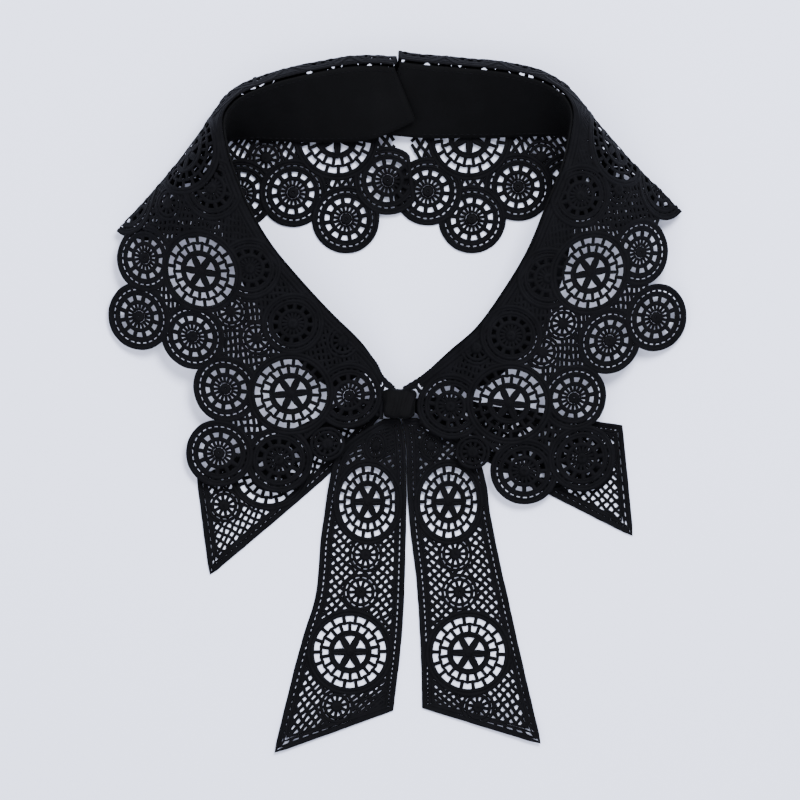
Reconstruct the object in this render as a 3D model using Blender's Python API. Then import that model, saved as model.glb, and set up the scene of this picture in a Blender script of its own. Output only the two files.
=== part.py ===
"""Detachable guipure lace collar, laid out flat: closed at the centre back, tied in front.

Metres, +Z up, +Y towards the back of the neck. The tables are in millimetres.
"""
import math
from collections import namedtuple

import bmesh
import bpy
import numpy as np
from mathutils import Vector
from mathutils.geometry import delaunay_2d_cdt

MM = 0.001
# The tables' own zero is at the knot; this is the middle of the base of the whole collar
BASE_MIDDLE = np.array([-0.4, 0.94, 0.05])

# Driving sizes, millimetres
LACE_WALL = 1.2
BAND_WALL = 1.4
CORD_RISE = 0.45
WHEEL_R = 18.2
TAIL_WHEEL_R = 18.0
SMALL_WHEEL_R = 15.0
MEDALLION_R = 14.2
NECK_CENTRE = (0.0, 85.0)
BAND_SETBACK = 1.9
BAND_DROP = 0.6

# Wheel gaps: how many, and their reach as shares of the wheel's radius
GAP_COUNT = 18
GAP_OUTER = 0.83
GAP_INNER = 0.55
GAP_BAR = 0.26
GAP_TAPER = 0.8
LEAF_COUNT = 6
LEAF_OUTER = 0.42
LEAF_INNER = 0.16
LEAF_BAR = 0.34

# The slope of a fall's sections: how far along their handles lie, and how high
HANDLE_NEAR = 0.24
HANDLE_FAR = 0.64
CREST_LIFT = 0.5
FOOT_LIFT = 0.2
BELLY_NEAR = 9.1
BELLY_FAR = 3.5
BELLY_LIFT = 0.4

# How finely the panels are cut up, millimetres and counts
RING_SIDES = 17
RING_STRIDES = 14
CREST_SHARE = 0.915
HEART_SIDES = 7
HEART_SHARE = 0.45
FALL_GRID = 9.0
TAIL_GRID = 11.0
BAND_GRID = 12.0
FINE_FROM = 3.0
FINE_TO = 20.0
FINE_SHARE = 0.6
GRID_CLEARANCE = 1.5
WELD = 0.04
PINCH_GAP = 0.3
ROLL_STATIONS = 60
SHARP_ANGLE = math.radians(40)

# The fall's front end runs back from the knot by section and share of it; its back end is
# the shares of section 0
FRONT_END = ((16.0, 0.03), (15.6, 0.08), (15.2, 0.14), (15.0, 0.26), (15.0, 0.5), (15.0, 0.72))
BACK_END = (0.68, 0.56, 0.44, 0.33, 0.22, 0.11)

# A section of a fall runs from the roll line, where the collar turns over, to past its edge.
# tuck 0 slopes straight out, 1 drops behind the roll and turns under; lean is its heading, degrees.
Section = namedtuple("Section", "roll_x roll_y roll_z edge_x edge_y edge_z tuck lean")
FALL_LEFT = [
    Section(-1.6, 142.4, 24.1, 9.0, 66.0, 2.9, 1.0, 90),
    Section(-10.0, 143.1, 24.0, -6.0, 63.0, 2.8, 1.0, 92),
    Section(-24.6, 142.1, 24.0, -21.0, 62.0, 0.8, 1.0, 98),
    Section(-48.0, 137.0, 27.0, -46.0, 66.0, 0.8, 1.0, 104),
    Section(-64.0, 131.0, 31.0, -69.0, 72.0, 0.8, 1.0, 120),
    Section(-71.0, 125.3, 34.5, -94.0, 68.0, 0.8, 0.9, 145),
    Section(-73.9, 119.0, 37.5, -119.0, 71.0, 3.0, 0.35, 165),
    Section(-73.3, 111.0, 38.8, -128.0, 56.0, 1.6, 0.0, 180),
    Section(-70.0, 98.0, 39.0, -126.0, 28.0, 0.9, 0.0, 180),
    Section(-63.5, 82.0, 38.0, -115.0, 6.0, 0.9, 0.0, 200),
    Section(-54.0, 66.0, 34.0, -101.0, -16.0, 1.4, 0.0, 210),
    Section(-42.0, 51.5, 29.0, -93.0, -37.0, 2.8, 0.0, 220),
    Section(-29.5, 38.0, 23.5, -71.0, -48.0, 3.2, 0.0, 225),
    Section(-17.4, 26.2, 18.0, -44.0, -46.0, 4.4, 0.0, 230),
    Section(-10.0, 18.0, 14.5, -25.0, -30.0, 6.6, 0.0, 240),
    Section(-6.9, 12.0, 12.6, -7.4, -14.0, 9.4, 0.0, 260),
    Section(-1.4, 6.9, 12.3, -2.4, -16.0, 9.4, 0.0, 265),
]
FALL_RIGHT = [
    Section(0.8, 144.7, 23.8, -3.0, 66.0, 0.8, 1.0, 90),
    Section(10.0, 143.5, 23.6, 11.0, 64.0, 0.8, 1.0, 88),
    Section(24.0, 142.3, 24.0, 24.0, 62.0, 0.8, 1.0, 84),
    Section(44.0, 140.2, 27.0, 44.0, 64.0, 0.8, 1.0, 78),
    Section(58.0, 136.8, 31.0, 66.0, 72.0, 0.8, 1.0, 62),
    Section(68.5, 130.9, 34.5, 94.0, 74.0, 0.8, 0.9, 38),
    Section(73.2, 123.0, 37.5, 120.0, 80.0, 3.0, 0.35, 15),
    Section(72.6, 113.0, 38.8, 127.0, 62.0, 1.6, 0.0, 0),
    Section(69.0, 98.0, 39.0, 127.0, 32.0, 0.9, 0.0, 0),
    Section(62.5, 82.0, 38.0, 118.0, 8.0, 0.9, 0.0, -20),
    Section(55.0, 64.0, 34.0, 105.0, -16.0, 1.4, 0.0, -30),
    Section(45.5, 48.0, 29.0, 94.0, -38.0, 2.8, 0.0, -40),
    Section(34.0, 32.0, 23.5, 73.0, -50.0, 3.2, 0.0, -45),
    Section(22.5, 21.8, 18.0, 47.0, -48.0, 4.4, 0.0, -50),
    Section(13.8, 15.0, 14.5, 26.0, -32.0, 6.6, 0.0, -60),
    Section(8.9, 11.2, 12.6, 10.0, -16.0, 9.4, 0.0, -80),
    Section(1.8, 6.9, 12.3, 4.0, -17.0, 9.4, 0.0, -85),
]

# The neckband's lower seam below each section of its fall's roll line
Seam = namedtuple("Seam", "section x y z")
SEAM_LEFT = [
    Seam(0, 7.3, 118.9, 14.6), Seam(1, -10.0, 111.6, 11.0), Seam(2, -24.0, 110.2, 6.4),
    Seam(3, -47.0, 110.5, 5.4), Seam(4, -62.5, 111.3, 6.4), Seam(5, -69.5, 111.0, 6.4),
    Seam(6, -74.5, 108.6, 5.8), Seam(7, -77.0, 103.0, 4.8), Seam(8, -76.5, 91.0, 3.2),
    Seam(9, -73.5, 73.5, 2.2), Seam(10, -67.5, 55.5, 1.2), Seam(11, -57.5, 39.0, 0.9),
    Seam(12, -46.5, 24.5, 0.9), Seam(13, -35.5, 12.0, 1.2), Seam(14, -25.5, 5.5, 3.0),
]
SEAM_RIGHT = [
    Seam(0, -8.0, 113.6, 7.6), Seam(1, 10.0, 112.0, 6.2), Seam(2, 24.0, 112.0, 4.9),
    Seam(3, 44.0, 112.3, 5.4), Seam(4, 60.0, 112.8, 6.4), Seam(5, 69.0, 112.5, 6.4),
    Seam(6, 73.5, 109.0, 5.8), Seam(7, 76.0, 104.0, 4.8), Seam(8, 75.5, 91.0, 3.2),
    Seam(9, 73.0, 74.0, 2.2), Seam(10, 69.0, 54.0, 1.2), Seam(11, 61.5, 35.5, 0.9),
    Seam(12, 51.0, 20.0, 0.9), Seam(13, 38.0, 9.5, 1.4), Seam(14, 26.5, 5.5, 3.2),
]

# A tail is cut straight; each station gives its two edges, from the knot to the slanted end
Station = namedtuple("Station", "ax ay az bx by bz")
TAIL_LONG_LEFT = [
    Station(-5.4, -5.8, 7.2, 0.7, -5.8, 7.2), Station(-16.0, -12.0, 5.2, 2.5, -13.0, 5.6),
    Station(-25.5, -20.0, 3.8, 3.1, -22.0, 4.2), Station(-29.0, -32.0, 2.7, 3.3, -32.0, 2.7),
    Station(-31.0, -45.0, 1.3, 3.3, -45.0, 1.3), Station(-32.8, -58.0, 0.7, 3.0, -58.0, 0.7),
    Station(-33.6, -70.0, 0.7, 2.7, -70.0, 0.7), Station(-35.2, -82.0, 0.7, 2.3, -82.0, 0.7),
    Station(-39.0, -94.0, 0.7, 1.6, -94.0, 0.7), Station(-43.0, -108.0, 0.7, 0.4, -107.0, 0.7),
    Station(-47.2, -125.0, 0.9, -1.0, -118.0, 0.7), Station(-52.4, -146.6, 2.2, -2.2, -128.0, 0.7),
]
TAIL_LONG_RIGHT = [
    Station(1.0, -5.8, 7.2, 7.6, -5.8, 7.2), Station(2.8, -13.0, 5.6, 20.0, -11.0, 5.2),
    Station(3.4, -22.0, 4.2, 32.0, -20.0, 3.8), Station(3.6, -32.0, 2.7, 36.6, -32.0, 2.7),
    Station(4.3, -45.0, 1.3, 38.4, -45.0, 1.3), Station(5.6, -58.0, 0.7, 40.7, -57.0, 0.7),
    Station(7.2, -70.0, 0.7, 43.4, -70.0, 0.7), Station(8.2, -82.0, 0.7, 46.2, -82.0, 0.7),
    Station(8.9, -94.0, 0.7, 49.0, -95.0, 0.7), Station(9.5, -107.0, 0.7, 52.2, -109.0, 0.7),
    Station(9.8, -118.0, 0.7, 55.4, -123.0, 0.9), Station(9.9, -127.0, 0.7, 60.1, -142.8, 2.4),
]
TAIL_SHORT_LEFT = [
    Station(-6.4, 3.0, 5.2, -6.4, -3.0, 5.2), Station(-20.0, 1.5, 1.8, -15.0, -13.0, 1.7),
    Station(-34.0, -5.0, 0.8, -27.5, -27.3, 0.8), Station(-52.0, -14.0, 0.7, -45.0, -42.8, 0.7),
    Station(-69.0, -23.0, 0.7, -62.0, -57.2, 0.7), Station(-84.6, -30.7, 0.7, -79.4, -71.8, 0.7),
]
TAIL_SHORT_RIGHT = [
    Station(6.9, 3.0, 5.2, 6.9, -3.0, 5.2), Station(24.0, 3.0, 1.8, 20.0, -13.0, 1.7),
    Station(40.0, -0.5, 0.8, 36.0, -23.0, 0.8), Station(58.0, -3.0, 0.7, 55.0, -33.3, 0.7),
    Station(77.0, -6.0, 0.7, 76.0, -44.0, 0.7), Station(93.9, -8.4, 0.7, 98.7, -55.4, 0.7),
]

# The round motifs, by where they lie in plan; under, fold and over name the layer of the fall
Motif = namedtuple("Motif", "kind x y layer")
MOTIFS_LEFT = [
    Motif("wheel", -25.8, 113.0, "under"), Motif("wheel", -87.0, 105.0, "fold"),
    Motif("wheel", -82.3, 56.0, "over"), Motif("wheel", -45.2, 5.0, "over"),
    Motif("edge", -4.6, 94.0, "under"), Motif("edge", -22.2, 78.5, "under"),
    Motif("edge", -44.5, 89.5, "under"), Motif("edge", -66.4, 89.5, "under"),
    Motif("edge", -88.0, 84.0, "under"), Motif("edge", -108.0, 83.0, "fold"),
    Motif("edge", -106.5, 61.7, "over"), Motif("edge", -108.6, 37.4, "over"),
    Motif("edge", -86.3, 29.0, "over"), Motif("edge", -72.5, 6.5, "over"),
    Motif("edge", -75.4, -19.7, "over"), Motif("edge", -50.2, -23.3, "over"),
    Motif("edge", -20.6, 3.8, "over"),
]
MOTIFS_RIGHT = [
    Motif("wheel", 30.0, 112.4, "under"), Motif("wheel", 90.0, 108.0, "fold"),
    Motif("wheel", 80.0, 55.4, "over"), Motif("wheel", 46.0, 0.4, "over"),
    Motif("edge", 12.4, 90.0, "under"), Motif("edge", 30.5, 78.3, "under"),
    Motif("edge", 50.6, 91.1, "under"), Motif("edge", 72.0, 92.0, "under"),
    Motif("edge", 92.0, 89.0, "under"), Motif("edge", 108.8, 91.0, "fold"),
    Motif("edge", 100.6, 64.0, "over"), Motif("edge", 107.3, 36.5, "over"),
    Motif("edge", 88.0, 26.5, "over"), Motif("edge", 73.7, 2.9, "over"),
    Motif("edge", 77.5, -22.3, "over"), Motif("edge", 52.7, -28.1, "over"),
    Motif("edge", 21.6, -0.4, "over"),
]
LAYERS = {"under": (0.0, 5.6), "fold": (5.6, 6.4), "over": (6.4, 15.0)}

# The flat tails' wheels, by plan place and radius
TailWheel = namedtuple("TailWheel", "x y radius")
WHEELS_LONG_LEFT = [TailWheel(-13.4, -40.5, SMALL_WHEEL_R), TailWheel(-20.2, -103.7, TAIL_WHEEL_R)]
WHEELS_LONG_RIGHT = [TailWheel(21.0, -40.5, SMALL_WHEEL_R), TailWheel(29.6, -104.2, TAIL_WHEEL_R)]

# The knot is a rounded block; a wrap and pleats stand up on its top, as shares of its height
KNOT_CENTRE = np.array([0.3, 0.0, 8.9])
KNOT_HALF = np.array([7.0, 5.9, 6.6])
KNOT_SQUARENESS = 5
KNOT_SHRINK = 0.05
WRAP_RISE = 0.06
WRAP_BREADTH = 0.34
PLEAT_RISE = 0.025
PLEAT_PITCH = 9
PLEAT_SLANT = 0.3


def clear_scene():
    """Remove whatever the opened file holds."""
    for found in list(bpy.data.objects):
        bpy.data.objects.remove(found, do_unlink=True)


def cloth_material(name, colour, roughness):
    """One finish: its colour and roughness."""
    material = bpy.data.materials.new(name)
    material.use_nodes = True
    shader = material.node_tree.nodes["Principled BSDF"]
    shader.inputs["Base Color"].default_value = (*colour, 1.0)
    shader.inputs["Roughness"].default_value = roughness
    shader.inputs["Metallic"].default_value = 0.0
    return material


class Sheet:
    """A curved panel: u counts along its sections, v runs from 0 to 1 across them."""

    STEPS = 24

    def __init__(self, controls):
        self.controls = np.array(controls, dtype=float)
        self.last = len(controls) - 1
        self.u_table = np.linspace(0.0, self.last, self.last * self.STEPS + 1)
        across = np.linspace(0.0, 1.0, self.STEPS + 1)
        grid = self.point(self.u_table[:, None], across[None, :])
        self.length = np.linalg.norm(np.diff(grid, axis=1), axis=2).sum(axis=1)
        along = np.linalg.norm(np.diff(grid, axis=0), axis=2).mean(axis=1)
        self.run = np.concatenate([[0.0], np.cumsum(along)])

    def point(self, u, v):
        """The place of (u, v): a smooth curve through the sections, a Bezier curve along each."""
        u, v = np.broadcast_arrays(np.asarray(u, float), np.asarray(v, float))
        low = np.clip(np.floor(u).astype(int), 0, self.last - 1)
        t = (u - low)[..., None, None]
        rows = self.controls
        after = rows[low + 1]
        here = rows[low]
        before = np.where((low > 0)[..., None, None], rows[np.maximum(low - 1, 0)], 2 * here - after)
        further = np.where((low < self.last - 1)[..., None, None],
                           rows[np.minimum(low + 2, self.last)], 2 * after - here)
        bend = (2 * here + (after - before) * t
                + (2 * before - 5 * here + 4 * after - further) * t ** 2
                + (3 * here - before - 3 * after + further) * t ** 3) / 2
        w = v[..., None]
        return ((1 - w) ** 3 * bend[..., 0, :] + 3 * (1 - w) ** 2 * w * bend[..., 1, :]
                + 3 * (1 - w) * w ** 2 * bend[..., 2, :] + w ** 3 * bend[..., 3, :])

    def slopes(self, u, v):
        """The two tangents at (u, v)."""
        small = 1e-4
        u_low, u_high = np.maximum(u - small, 0.0), np.minimum(u + small, self.last)
        v_low, v_high = np.maximum(v - small, 0.0), np.minimum(v + small, 1.0)
        along = (self.point(u_high, v) - self.point(u_low, v)) / (u_high - u_low)[..., None]
        across = (self.point(u, v_high) - self.point(u, v_low)) / (v_high - v_low)[..., None]
        return along, across

    def normal(self, u, v):
        """The unit normal at (u, v)."""
        along, across = self.slopes(u, v)
        normal = np.cross(along, across)
        return normal / np.linalg.norm(normal, axis=-1, keepdims=True)

    def flat(self, u, v):
        """(u, v) to lengths along and across the cloth."""
        return np.stack([np.interp(u, self.u_table, self.run),
                         v * np.interp(u, self.u_table, self.length)], axis=-1)

    def unflat(self, places):
        """Lengths along and across the cloth, back to u and v."""
        u = np.interp(places[:, 0], self.run, self.u_table)
        v = places[:, 1] / np.interp(u, self.u_table, self.length)
        return u, np.clip(v, 0.0, 1.0)

    def find(self, x, y, u_low, u_high):
        """The (u, v) between two sections that lies at (x, y) in plan."""
        u, v = np.meshgrid(np.linspace(u_low, u_high, 160), np.linspace(0.02, 0.98, 120),
                           indexing="ij")
        places = self.point(u, v)
        away = (places[..., 0] - x) ** 2 + (places[..., 1] - y) ** 2
        best = np.unravel_index(np.argmin(away), away.shape)
        return float(u[best]), float(v[best])

    def ring(self, centre, radius, angles):
        """Points at their distance from a centre, walked over the cloth in each direction."""
        u = np.full(len(angles), centre[0])
        v = np.full(len(angles), centre[1])
        along, across = self.slopes(u, v)
        side = across / np.linalg.norm(across, axis=-1, keepdims=True)
        normal = self.normal(u, v)
        other = np.cross(normal, side)
        heading = side * np.cos(angles)[:, None] + other * np.sin(angles)[:, None]
        stride = np.asarray(radius, float) / RING_STRIDES
        for _ in range(RING_STRIDES):
            along, across = self.slopes(u, v)
            aa = (along * along).sum(axis=1)
            ab = (along * across).sum(axis=1)
            bb = (across * across).sum(axis=1)
            ha = (heading * along).sum(axis=1)
            hb = (heading * across).sum(axis=1)
            share = aa * bb - ab * ab
            u = np.clip(u + stride * (ha * bb - hb * ab) / share, 0.0, self.last)
            v = np.clip(v + stride * (hb * aa - ha * ab) / share, 0.0, 1.0)
            normal = self.normal(u, v)
            heading = heading - normal * (heading * normal).sum(axis=1, keepdims=True)
            heading = heading / np.linalg.norm(heading, axis=1, keepdims=True)
        return self.flat(u, v)


def fall_sheet(sections):
    """The surface of half a fall, from its table."""
    controls = []
    for s in sections:
        roll = np.array([s.roll_x, s.roll_y, s.roll_z])
        edge = np.array([s.edge_x, s.edge_y, s.edge_z])
        drop = s.roll_z - s.edge_z
        out = np.array([math.cos(math.radians(s.lean)), math.sin(math.radians(s.lean)), 0.0])
        slope_near = roll + (edge - roll) * HANDLE_NEAR
        slope_near[2] = s.roll_z + CREST_LIFT
        slope_far = roll + (edge - roll) * HANDLE_FAR
        slope_far[2] = s.edge_z + FOOT_LIFT * drop
        tuck_near = roll + out * BELLY_NEAR
        tuck_near[2] = s.edge_z + BELLY_LIFT * drop
        tuck_far = roll + out * BELLY_FAR
        tuck_far[2] = s.edge_z
        near = slope_near + (tuck_near - slope_near) * s.tuck
        far = slope_far + (tuck_far - slope_far) * s.tuck
        controls.append([roll, near, far, edge])
    return Sheet(controls)


def straight_section(start, end):
    """The control points of a section that runs straight from start to end."""
    start, end = np.array(start, float), np.array(end, float)
    return [start, start + (end - start) / 3, start + (end - start) * 2 / 3, end]


def band_sheet(fall, seams):
    """The neckband's surface, hung inside the roll line of its fall."""
    controls = []
    for seam in seams:
        section = np.array([float(seam.section)])
        roll = fall.point(section, np.array([0.0]))[0]
        along = fall.slopes(section, np.array([0.0]))[0][0]
        inward = np.array([-along[1], along[0], 0.0])
        inward = inward / np.linalg.norm(inward)
        to_neck = np.array([*NECK_CENTRE, 0.0]) - roll
        if np.dot(inward[:2], to_neck[:2]) < 0:
            inward = -inward
        top = roll + inward * BAND_SETBACK
        top[2] = roll[2] - BAND_DROP
        controls.append(straight_section(top, (seam.x, seam.y, seam.z)))
    return Sheet(controls)


def tail_sheet(stations):
    """The surface of a tail, from its two edges."""
    return Sheet([straight_section((s.ax, s.ay, s.az), (s.bx, s.by, s.bz)) for s in stations])


def inside(points, polygon):
    """Which of the points lie inside a polygon."""
    x, y = points[:, 0], points[:, 1]
    result = np.zeros(len(points), dtype=bool)
    for (ax, ay), (bx, by) in zip(polygon, np.roll(polygon, -1, axis=0)):
        crosses = (ay > y) != (by > y)
        with np.errstate(divide="ignore", invalid="ignore"):
            at = (bx - ax) * (y - ay) / (by - ay) + ax
        result ^= crosses & (x < at)
    return result


def circle_angles(count, turn=0.0):
    """Evenly spaced angles round a circle."""
    return np.arange(count) * 2 * math.pi / count + turn


def wheel_gaps(sheet, centre, radius):
    """The gaps of one wheel: a ring of four-cornered ones and six between the hub's leaves."""
    gaps = []
    pitch = 2 * math.pi / GAP_COUNT
    for start in circle_angles(GAP_COUNT):
        half = pitch * (1 - GAP_BAR) / 2
        near = half * GAP_TAPER
        angles = np.array([start - half, start + half, start + near, start - near])
        shares = np.array([GAP_OUTER, GAP_OUTER, GAP_INNER, GAP_INNER])
        gaps.append(sheet.ring(centre, radius * shares, angles))
    pitch = 2 * math.pi / LEAF_COUNT
    for start in circle_angles(LEAF_COUNT, pitch / 2):
        half = pitch * (1 - LEAF_BAR) / 2
        angles = np.array([start - half, start + half, start])
        shares = np.array([LEAF_OUTER, LEAF_OUTER, LEAF_INNER])
        gaps.append(sheet.ring(centre, radius * shares, angles))
    return gaps


def fans_at(point, faces):
    """The groups of faces round a point that hang together by an edge."""
    groups = []
    for index in np.nonzero((faces == point).any(axis=1))[0]:
        others = {int(i) for i in faces[index] if i != point}
        joined = [group for group in groups if group[1] & others]
        merged = ([int(index)], others)
        for group in joined:
            merged = (merged[0] + group[0], merged[1] | group[1])
            groups.remove(group)
        groups.append(merged)
    return [group[0] for group in groups]


def part_pinches(flat, height, faces):
    """Where two stretches of lace meet in one point only, draw them slightly apart."""
    sides = np.concatenate([faces[:, [0, 1]], faces[:, [1, 2]], faces[:, [2, 0]]])
    named, uses = np.unique(np.sort(sides, axis=1), axis=0, return_counts=True)
    ends, meets = np.unique(named[uses == 1], return_counts=True)
    flat, height, faces = flat.tolist(), height.tolist(), faces.copy()
    for point in ends[meets > 2]:
        for fan in fans_at(point, faces)[1:]:
            middle = np.mean([flat[i] for i in faces[fan].ravel()], axis=0)
            place = np.array(flat[point])
            pull = middle - place
            flat.append((place + pull / np.linalg.norm(pull) * PINCH_GAP).tolist())
            height.append(0.0)
            faces[fan] = np.where(faces[fan] == point, len(flat) - 1, faces[fan])
    return np.array(flat), np.array(height), faces


def wall(name, sheet, outline, discs, wheels, thickness, material, spacing):
    """Cut one panel from its sheet and give it its thickness.

    outline and discs are joined; each wheel is cut through, and each disc's rim stands up.
    """
    points, edges, rise = [], [], []

    def add_loop(loop, height=0.0):
        first = len(points)
        for k, place in enumerate(loop):
            points.append(Vector((float(place[0]), float(place[1]))))
            rise.append(height)
            edges.append((first + k, first + (k + 1) % len(loop)))

    add_loop(outline)
    rims, gaps, round_areas = [], [], []
    for centre, radius in discs:
        angles = circle_angles(RING_SIDES)
        rim = sheet.ring(centre, radius, angles)
        rims.append(rim)
        add_loop(rim)
        add_loop(sheet.ring(centre, radius * CREST_SHARE, angles), CORD_RISE)
    for centre, radius in wheels:
        angles = circle_angles(RING_SIDES, math.pi / RING_SIDES)
        add_loop(sheet.ring(centre, radius * CREST_SHARE, angles), CORD_RISE)
        for gap in wheel_gaps(sheet, centre, radius):
            gaps.append(gap)
            add_loop(gap)
    for centre, radius in discs + wheels:
        round_areas.append((sheet.flat(np.array([centre[0]]), np.array([centre[1]]))[0], radius))
    for centre, radius in discs:
        for place in sheet.ring(centre, radius * HEART_SHARE, circle_angles(HEART_SIDES)):
            points.append(Vector((float(place[0]), float(place[1]))))
            rise.append(0.0)

    grid_y = np.concatenate([np.arange(FINE_FROM, FINE_TO, spacing * FINE_SHARE),
                             np.arange(FINE_TO, sheet.length.max(), spacing)])
    grid_x = np.arange(spacing / 2, sheet.run[-1], spacing)
    grid = np.array([(x, y) for x in grid_x for y in grid_y])
    free = inside(grid, outline)
    for place, radius in round_areas:
        free &= np.linalg.norm(grid - place, axis=1) > radius + GRID_CLEARANCE
    for place in grid[free]:
        points.append(Vector((float(place[0]), float(place[1]))))
        rise.append(0.0)

    flat, _, faces, origin, _, _ = delaunay_2d_cdt(points, edges, [], 0, WELD)
    flat = np.array([(p.x, p.y) for p in flat])
    height = np.array([max((rise[i] for i in found), default=0.0) for found in origin])
    faces = np.array([face for face in faces if len(face) == 3])
    middles = flat[faces].mean(axis=1)
    keep = inside(middles, outline)
    for rim in rims:
        keep |= inside(middles, rim)
    for gap in gaps:
        keep &= ~inside(middles, gap)
    faces = faces[keep]
    flat, height, faces = part_pinches(flat, height, faces)

    u, v = sheet.unflat(flat)
    middle = sheet.point(u, v)
    normal = sheet.normal(u, v)
    up = normal[:, 2] >= 0
    half = thickness / 2
    front = middle + normal * (half + np.where(up, height, 0.0))[:, None]
    back = middle - normal * (half + np.where(up, 0.0, height))[:, None]
    closed_wall(name, front, back, faces, material)


def closed_wall(name, front, back, faces, material):
    """Join a front and a back skin along every free edge, into one closed mesh."""
    count = len(front)
    mesh_faces = []
    use = {}
    for face in faces:
        a, b, c = (int(i) for i in face)
        mesh_faces.append((a, b, c))
        mesh_faces.append((a + count, c + count, b + count))
        for start, end in ((a, b), (b, c), (c, a)):
            use[(start, end)] = True
    for start, end in use:
        if (end, start) not in use:
            mesh_faces.append((end, start, start + count))
            mesh_faces.append((end, start + count, end + count))
    mesh = bpy.data.meshes.new(name)
    places = (np.concatenate([front, back]) - BASE_MIDDLE) * MM
    mesh.from_pydata(places.tolist(), [], mesh_faces)
    work = bmesh.new()
    work.from_mesh(mesh)
    loose = [vert for vert in work.verts if not vert.link_faces]
    bmesh.ops.delete(work, geom=loose, context="VERTS")
    work.to_mesh(mesh)
    work.free()
    mesh.materials.append(material)
    mesh.shade_smooth()
    mesh.set_sharp_from_angle(angle=SHARP_ANGLE)
    bpy.context.collection.objects.link(bpy.data.objects.new(name, mesh))


def cut_fall(name, sections, motifs, material):
    """Half of the lace fall: its body, the scallops of its edge medallions, and its wheels."""
    sheet = fall_sheet(sections)
    discs, wheels, edge_line = [], [], []
    for motif in motifs:
        centre = sheet.find(motif.x, motif.y, *LAYERS[motif.layer])
        if motif.kind == "wheel":
            wheels.append((centre, WHEEL_R))
        else:
            discs.append((centre, MEDALLION_R))
            edge_line.append(centre)
    roll = [(u, 0.0) for u in np.linspace(0.0, sheet.last, ROLL_STATIONS)]
    back_end = [(0.0, v) for v in BACK_END]
    trail = roll + list(FRONT_END) + edge_line[::-1] + back_end
    outline = np.array([sheet.flat(np.array([u]), np.array([v]))[0] for u, v in trail])
    wall(name, sheet, outline, discs, wheels, LACE_WALL, material, FALL_GRID)
    return sheet


def cut_strip(name, sheet, wheels, thickness, material, spacing):
    """A panel with four plain edges: a tail with its wheels, or half of the neckband."""
    found = [(sheet.find(w.x, w.y, 0.0, sheet.last), w.radius) for w in wheels]
    steps = sheet.last * 3 + 1
    along = np.linspace(0.0, sheet.last, steps)
    across = np.linspace(0.0, 1.0, 5)[1:-1]
    trail = [(u, 0.0) for u in along] + [(sheet.last, v) for v in across]
    trail += [(u, 1.0) for u in along[::-1]] + [(0.0, v) for v in across[::-1]]
    outline = np.array([sheet.flat(np.array([u]), np.array([v]))[0] for u, v in trail])
    wall(name, sheet, outline, [], found, thickness, material, spacing)


def make_knot(material):
    """The front knot: a plump crossing with a wrap over it, flat sides where the tails leave."""
    work = bmesh.new()
    bmesh.ops.create_uvsphere(work, u_segments=28, v_segments=16, radius=1.0)
    for vert in work.verts:
        ball = np.array(vert.co)
        block = ball / (np.abs(ball) ** KNOT_SQUARENESS).sum() ** (1 / KNOT_SQUARENESS)
        slant = block[0] - PLEAT_SLANT * block[1]
        wrap = WRAP_RISE * math.exp(-((block[0] + PLEAT_SLANT * block[1]) / WRAP_BREADTH) ** 2)
        pleat = PLEAT_RISE * math.cos(PLEAT_PITCH * slant)
        swell = 1.0 + (wrap + pleat) * max(block[2], 0.0) - KNOT_SHRINK
        breadth = min(swell, 1.0)
        place = block * np.array([breadth, breadth, swell])
        vert.co = (KNOT_CENTRE + KNOT_HALF * place - BASE_MIDDLE) * MM
    mesh = bpy.data.meshes.new("knot")
    work.to_mesh(mesh)
    work.free()
    mesh.materials.append(material)
    mesh.shade_smooth()
    bpy.context.collection.objects.link(bpy.data.objects.new("knot", mesh))


def main():
    clear_scene()
    lace = cloth_material("black_lace", (0.012, 0.012, 0.014), 0.7)
    cloth = cloth_material("black_cloth", (0.010, 0.010, 0.012), 0.85)
    left = cut_fall("fall_left", FALL_LEFT, MOTIFS_LEFT, lace)
    right = cut_fall("fall_right", FALL_RIGHT, MOTIFS_RIGHT, lace)
    cut_strip("band_left", band_sheet(left, SEAM_LEFT), [], BAND_WALL, cloth, BAND_GRID)
    cut_strip("band_right", band_sheet(right, SEAM_RIGHT), [], BAND_WALL, cloth, BAND_GRID)
    tails = [
        ("tail_long_left", TAIL_LONG_LEFT, WHEELS_LONG_LEFT),
        ("tail_long_right", TAIL_LONG_RIGHT, WHEELS_LONG_RIGHT),
        ("tail_short_left", TAIL_SHORT_LEFT, []),
        ("tail_short_right", TAIL_SHORT_RIGHT, []),
    ]
    for name, stations, wheels in tails:
        cut_strip(name, tail_sheet(stations), wheels, LACE_WALL, lace, TAIL_GRID)
    make_knot(cloth)


main()
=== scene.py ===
"""A black guipure lace collar, tied in front and laid out flat, dressed over its solid model.

Every lace panel is drawn as thread: motifs, net and borders are laid on the panel's curved
surface as paths, and a Geometry Nodes tree gives each path its cord. The tables below are in
millimetres and have their zero at the knot.
"""
import math
from collections import namedtuple

import bmesh
import bpy
import numpy as np
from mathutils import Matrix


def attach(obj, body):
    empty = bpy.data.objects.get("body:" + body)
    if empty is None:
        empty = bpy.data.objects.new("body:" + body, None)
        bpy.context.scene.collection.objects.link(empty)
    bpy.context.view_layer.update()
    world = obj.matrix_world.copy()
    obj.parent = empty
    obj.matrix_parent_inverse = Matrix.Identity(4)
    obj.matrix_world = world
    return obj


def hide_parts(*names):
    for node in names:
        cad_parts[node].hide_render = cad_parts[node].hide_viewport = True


bl_info = {
    "name": "Lace collar",
    "version": (1, 0, 0),
    "blender": (4, 5, 0),
    "location": "3D View > Sidebar > Collar",
    "description": "Builds a guipure lace collar with its neckband, tails and knot, and its stage",
    "category": "Object",
}

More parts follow.
